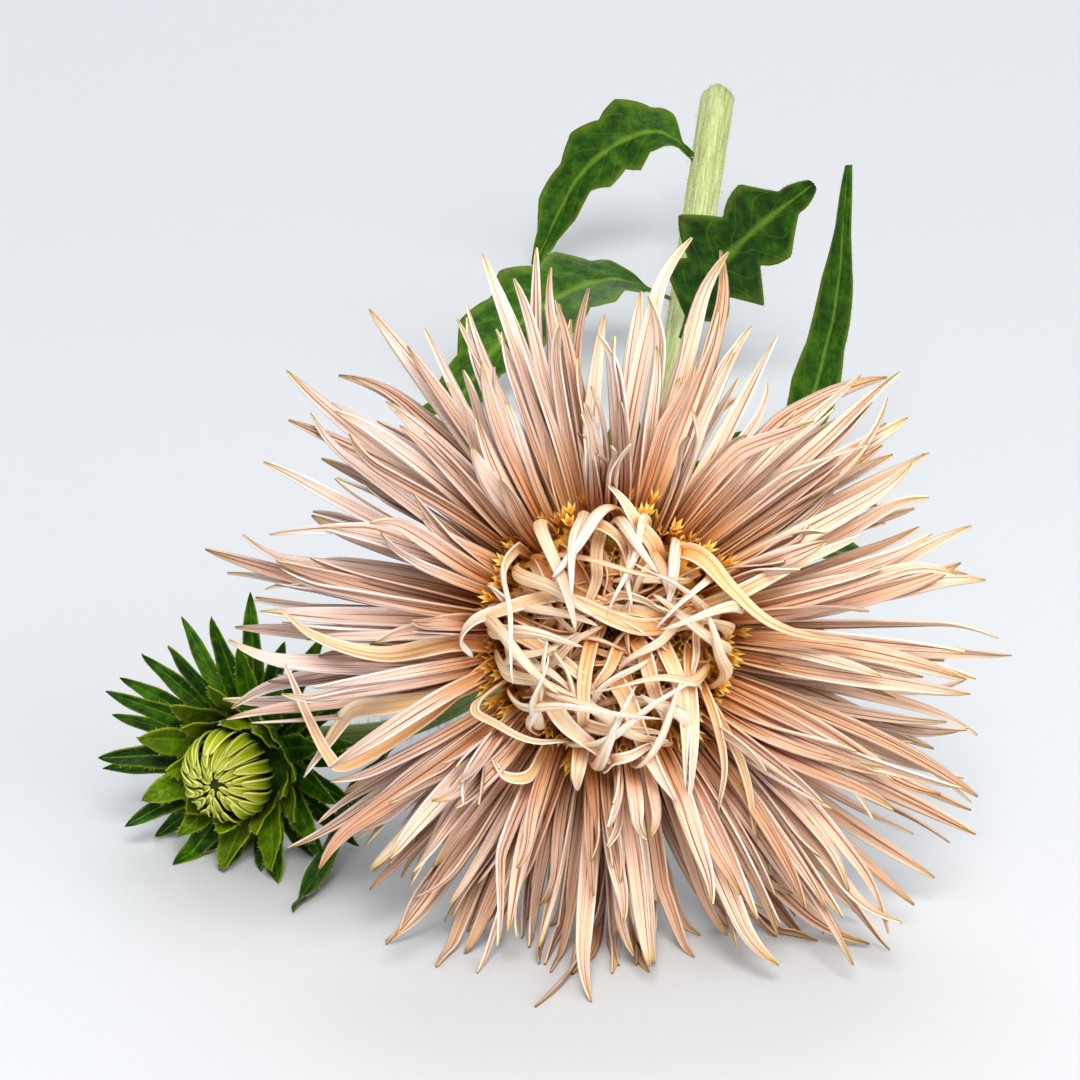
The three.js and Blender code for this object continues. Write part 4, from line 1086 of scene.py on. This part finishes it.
# Painted shade on the branch, deeper towards the bud
shade_along_branch = np.linspace(0, 1, branch_steps)[:, None] ** 0.6
branch_facts = {"cut": 0.0, "branch_shade": shade_along_branch, **round_facts(branch_steps, STEM_SIDES, length=70)}
skins("branch", branch_rings, branch_facts, stem_skin, "stem", "stem")
receptacle = turned(bloom, RECEPTACLE, RECEPTACLE_STEPS, **CUP_RIPPLE)
receptacle_facts = {"cut": 0.0, **round_facts(RECEPTACLE_STEPS, SEGMENTS, length=18)}
skins("receptacle", receptacle, receptacle_facts, stem_skin, "stem", "stem")
hairs = np.concatenate([bristles(stem_rings, STEM_HAIRS, BRISTLE_SEEDS["stem"]),
                        bristles(branch_rings, BRANCH_HAIRS, BRISTLE_SEEDS["branch"])])
skins("stem_hairs", hairs, {}, hair_skin, "stem", "stem")


# Leaves: alternate, coarsely toothed leaves on short stalks, which arch away from the stem and droop to the
# surface, or stand up beside it. They are dark above, folded a little along the rib, and puckered between the
# veins.
LEAVES = {
    "leaf_1": {"path": [(4, 101, 13), (17, 93, 23), (32, 83, 27.5), (47, 74, 26.5)], "half": 6.5, "teeth": 3,
               "notch": 0.72, "up": (0, 0, 1)},
    "leaf_2": {"path": [(9, 134, 6), (-7, 123, 16), (-24, 108, 11), (-39, 94, -6)], "half": 8, "teeth": 4,
               "notch": 0.72, "up": (0, 0, 1)},
    "leaf_3": {"path": [(15, 190, 3), (36, 186, 7), (44.5, 181, 31), (47, 177, 63)], "half": 4.4, "teeth": 3,
               "notch": 0.8, "up": (-0.2, -1, 0.3)},
    "leaf_4": {"path": [(21, 247, 6), (25, 240, 21), (33, 231, 34), (44, 223, 46)], "half": 11.5, "teeth": 3,
               "notch": 0.5, "up": (0, -1, 0.6)},
    "leaf_5": {"path": [(23, 268, 9), (7, 257, 17), (-11, 243, 11), (-26, 230, -7)], "half": 10.5, "teeth": 5,
               "notch": 0.72, "up": (0, -0.5, 1)},
    "leaf_6": {"path": [(29, 314, 22), (19, 316, 29), (6, 317, 22), (-5, 315, 2)], "half": 8, "teeth": 4,
               "notch": 0.72, "up": (0, -0.8, 0.7)},
    "branch_leaf": {"path": [(-29, 41, 14), (-35, 30, 9), (-41, 14, 3), (-46.5, -1, 0)], "half": 3.4,
                    "teeth": 1, "notch": 0.72, "up": (-0.6, 0, 1)},
}
TOOTH_PEAK = 1.15
LEAF_HAIRS_AN_EDGE = 110
LEAF_HAIR_REACH = 0.7
LEAF_HAIR_SEED = 90
LEAF_FOLD = 0.25
LEAF_WALL = 0.45
LEAF_STEPS = 90
LEAF_POINTS_ACROSS = 21
PETIOLE_SHARE = 0.17
PETIOLE_HALF_WIDTH = 1.2


def leaf_rings(shape, phase):
    """Rings of one leaf. Its half width is half sin(pi (0.93 s + 0.03) ** 0.85) at share s of the blade,
    times a tooth that rises to 1 just past each odd number of 2 teeth + 1 steps, and falls to the notch
    between them. The blade is quilted between its side veins, and its edges ruffle."""
    share = np.linspace(0, 1, LEAF_STEPS)
    path = through(np.array(shape["path"], float)[None], share)
    blade = np.clip((share - PETIOLE_SHARE) / (1 - PETIOLE_SHARE), 0, 1)
    step = blade * (2 * shape["teeth"] + 1) % 2
    tooth = np.where(step < TOOTH_PEAK, step / TOOTH_PEAK, (2 - step) / (2 - TOOTH_PEAK)) ** 0.85
    spread = shape["half"] * np.sin(np.pi * np.minimum(1, blade * 0.93 + 0.03) ** 0.85)
    half = np.maximum(spread * (shape["notch"] + (1 - shape["notch"]) * tooth), 0.3)
    opens = eased((share - 0.8 * PETIOLE_SHARE) / (0.4 * PETIOLE_SHARE))
    half = PETIOLE_HALF_WIDTH * (1 - opens) + half * opens
    ahead = np.gradient(path, axis=1)
    side, face = frames_along(path, unit(np.cross(np.array(shape["up"], float), ahead[0].mean(0)))[None])
    across = loop_across(LEAF_POINTS_ACROSS)[0]
    share, opens = share[:, None], opens[:, None]
    veins = np.abs(np.sin(VEIN_TURN * (share - VEIN_SLANT * np.abs(across))))
    quilt = 0.35 * veins * (1 - np.abs(across)) * opens
    ruffle = 0.7 * np.sin(15 * share + phase + 1.2 * np.sign(across)) * across ** 2 * opens
    rings = plate_rings(path, side, face, half[None], LEAF_FOLD * opens[None], LEAF_WALL, LEAF_POINTS_ACROSS,
                        (quilt + ruffle)[None])
    return lifted(rings), {"along": share[None], "across": across, "own": phase % 1}


# Leaf tissue: darker than the bracts, faintly waxy, with a paler rib and side veins
green_leaf = leaf_skin("dark_leaf", "#102e02", "#224a04", "#40680c", edge="#748828", rib="#628626")
for number, (name, shape) in enumerate(LEAVES.items()):
    rings, facts = leaf_rings(shape, 1.7 * number)
    skins(name + "_blade", rings, facts, green_leaf, "leaf", name)
    hairs = fringe(rings, LEAF_POINTS_ACROSS, LEAF_HAIR_REACH, LEAF_HAIR_SEED + number, LEAF_HAIRS_AN_EDGE)
    skins(name + "_hairs", hairs, {}, hair_skin, "leaf", name)


# Bud: a closed green head in a rosette of narrow leafy bracts. Its short petals are yellow-green, and rise
# round the head and close over it in overlapping rings.
BUD_CUP = [(0, -8), (2.3, -8), (5.2, -4.8), (7.2, -2.4), (7.2, -1.4), (0, -1.4)]
BUD_HEAD_RADIUS = 5.6
BUD_HEAD_HEIGHT = 3.4
BUD_BRACT_ROWS = [
    {"count": 8, "rise": 68, "length": 9.5, "root": (6.8, -2), "young": 0.55},
    {"count": 10, "rise": 48, "length": 13.5, "root": (6.2, -2.8), "longer": 0.1, "young": 0.25},
    {"count": 12, "rise": 27, "length": 16, "root": (5.2, -3.8), "longer": 0.25, "slim": 0.85},
    {"count": 12, "rise": 10, "length": 16, "root": (4.6, -4.5), "longer": 0.25, "slim": 0.75},
    {"count": 11, "rise": -8, "length": 17, "root": (4, -5.2), "longer": 0.35, "slim": 0.75},
]
BUD_BRACT_OUTLINE = {"start": 0.6, "widest": 0.38, "fullness": 0.75}
BUD_PETAL_RINGS = [
    {"count": 18, "from": 112, "to": 34, "radius": 7.2, "width": 2.0},
    {"count": 15, "from": 92, "to": 22, "radius": 6.9, "width": 1.7},
    {"count": 12, "from": 66, "to": 13, "radius": 6.5, "width": 1.4},
    {"count": 8, "from": 40, "to": 6, "radius": 6.1, "width": 1.1},
]
BUD_PETAL_DRAWS = {"shift": (-0.2, 0.2), "reach": (-6, 6), "own": (0, 1), "roll": (-0.25, 0.25),
                   "swirl": (0.1, 0.35)}
BUD_PETAL_OUTLINE = {"start": 0.7, "widest": 0.45, "fullness": 0.6}
BUD_PETAL_OPENING = 0.9
BUD_PETAL_WALL = 0.3
BUD_PETAL_SEED = 93
BUD_PETAL_STEPS = 16


def bud_petal_rings(ring, order):
    """Rings of one ring of bud petals: each runs over the head from one polar angle to another, close to it
    at its root and further out by 1 - (1 - share) ** 3, and swirls round it by the share squared."""
    drawn = dice(BUD_PETAL_SEED + order, ring["count"], BUD_PETAL_DRAWS)
    share = np.linspace(0, 1, BUD_PETAL_STEPS)[None, :]
    angle = 2 * np.pi * (np.arange(ring["count"]) + 0.5 * (order % 2) + drawn["shift"]) / ring["count"]
    polar = np.radians(ring["from"] + (ring["to"] - ring["from"] + drawn["reach"][:, None]) * share)
    radius = ring["radius"] - (ring["radius"] - BUD_HEAD_RADIUS + 0.4) * (1 - share) ** 3
    swirled = angle[:, None] + drawn["swirl"][:, None] * share ** 2
    paths = bud.at(swirled, radius * np.sin(polar), BUD_HEAD_HEIGHT + radius * np.cos(polar))
    side, face = frames_along(paths, bud.around(angle), drawn["roll"][:, None])
    half_width = ring["width"] / 2 * swell(share, **BUD_PETAL_OUTLINE) + 0.05 + 0 * polar
    rings = channel(paths, side, -face, half_width, BUD_PETAL_OPENING, BUD_PETAL_WALL, BRACT_POINTS_ACROSS)
    return rings[:, :, ::-1], drawn["own"][:, None, None]


# Bud bract tissue: as the bloom's bracts, with edges and young bracts a fresh yellow-green
bud_skin = leaf_skin("green_bract", "#081c01", "#1c4402", "#467604", edge="#a8b818", rib="#5e861a")
rings, facts = bract_rings(bud, BUD_BRACT_ROWS, 19, 808, width=4.6, fold=0.3, outline=BUD_BRACT_OUTLINE,
                           push=FORWARD)
skins("bud_rosette", rings, facts, bud_skin, "leaf", "bud_bracts")
hairs = fringe(rings, BRACT_POINTS_ACROSS, reach=0.45, seed=33, each=14)
skins("bud_bract_hairs", hairs, {}, hair_skin, "leaf", "bud_bracts")
skins("bud_cup", turned(bud, BUD_CUP, CUP_STEPS), CUP_FACTS, bud_skin, "leaf", "bud_bracts")

# Bud petal tissue: unopened, so it is still yellow-green, with no pink or golden stain. Its pale edges are
# painted highlights, and its hollows and gaps take painted shade
bud_petal_skin = petal_skin(
    "green_bud_petal", [(0.0, "#344c02"), (0.3, "#748e08"), (0.7, "#bccc18"), (1.0, "#ecf080")],
    {"groove": "#9cb01c", "hollow": "#98aa20", "edge": "#f4f68c", "stain_and_warm_shade": "#ffffff", "left": "#ffffff",
     "right": "#ffffff", "low": "#ffffff", "deep": "#e8e8d0", "gap": "#8c9440"})
rings, own = (np.concatenate(parts) for parts in zip(*(
    bud_petal_rings(ring, order) for order, ring in enumerate(BUD_PETAL_RINGS))))
skins("folded_petals", rings, {
    "along": np.linspace(0, 1, BUD_PETAL_STEPS)[:, None], **strip_facts(bud, rings, BRACT_POINTS_ACROSS, 1),
    "own": own}, bud_petal_skin, "bud_petal", "bud_petals")
polar = np.radians(np.linspace(150, 2, 30))
bud_sphere = zip(BUD_HEAD_RADIUS * np.sin(polar), BUD_HEAD_HEIGHT + BUD_HEAD_RADIUS * np.cos(polar))
# The head under the petals, seen only in the gaps: painted dark green as the shade there
bud_core_shade_skin = mottled("bud_core_shade", [(0.3, "#18240a"), (0.6, "#3c4c12")], scale=900.0, height_mm=0.2)
skins("bud_head", turned(bud, [(0, 0), *bud_sphere, (0, 0)]), {}, bud_core_shade_skin, "bud_petal", "bud_petals")
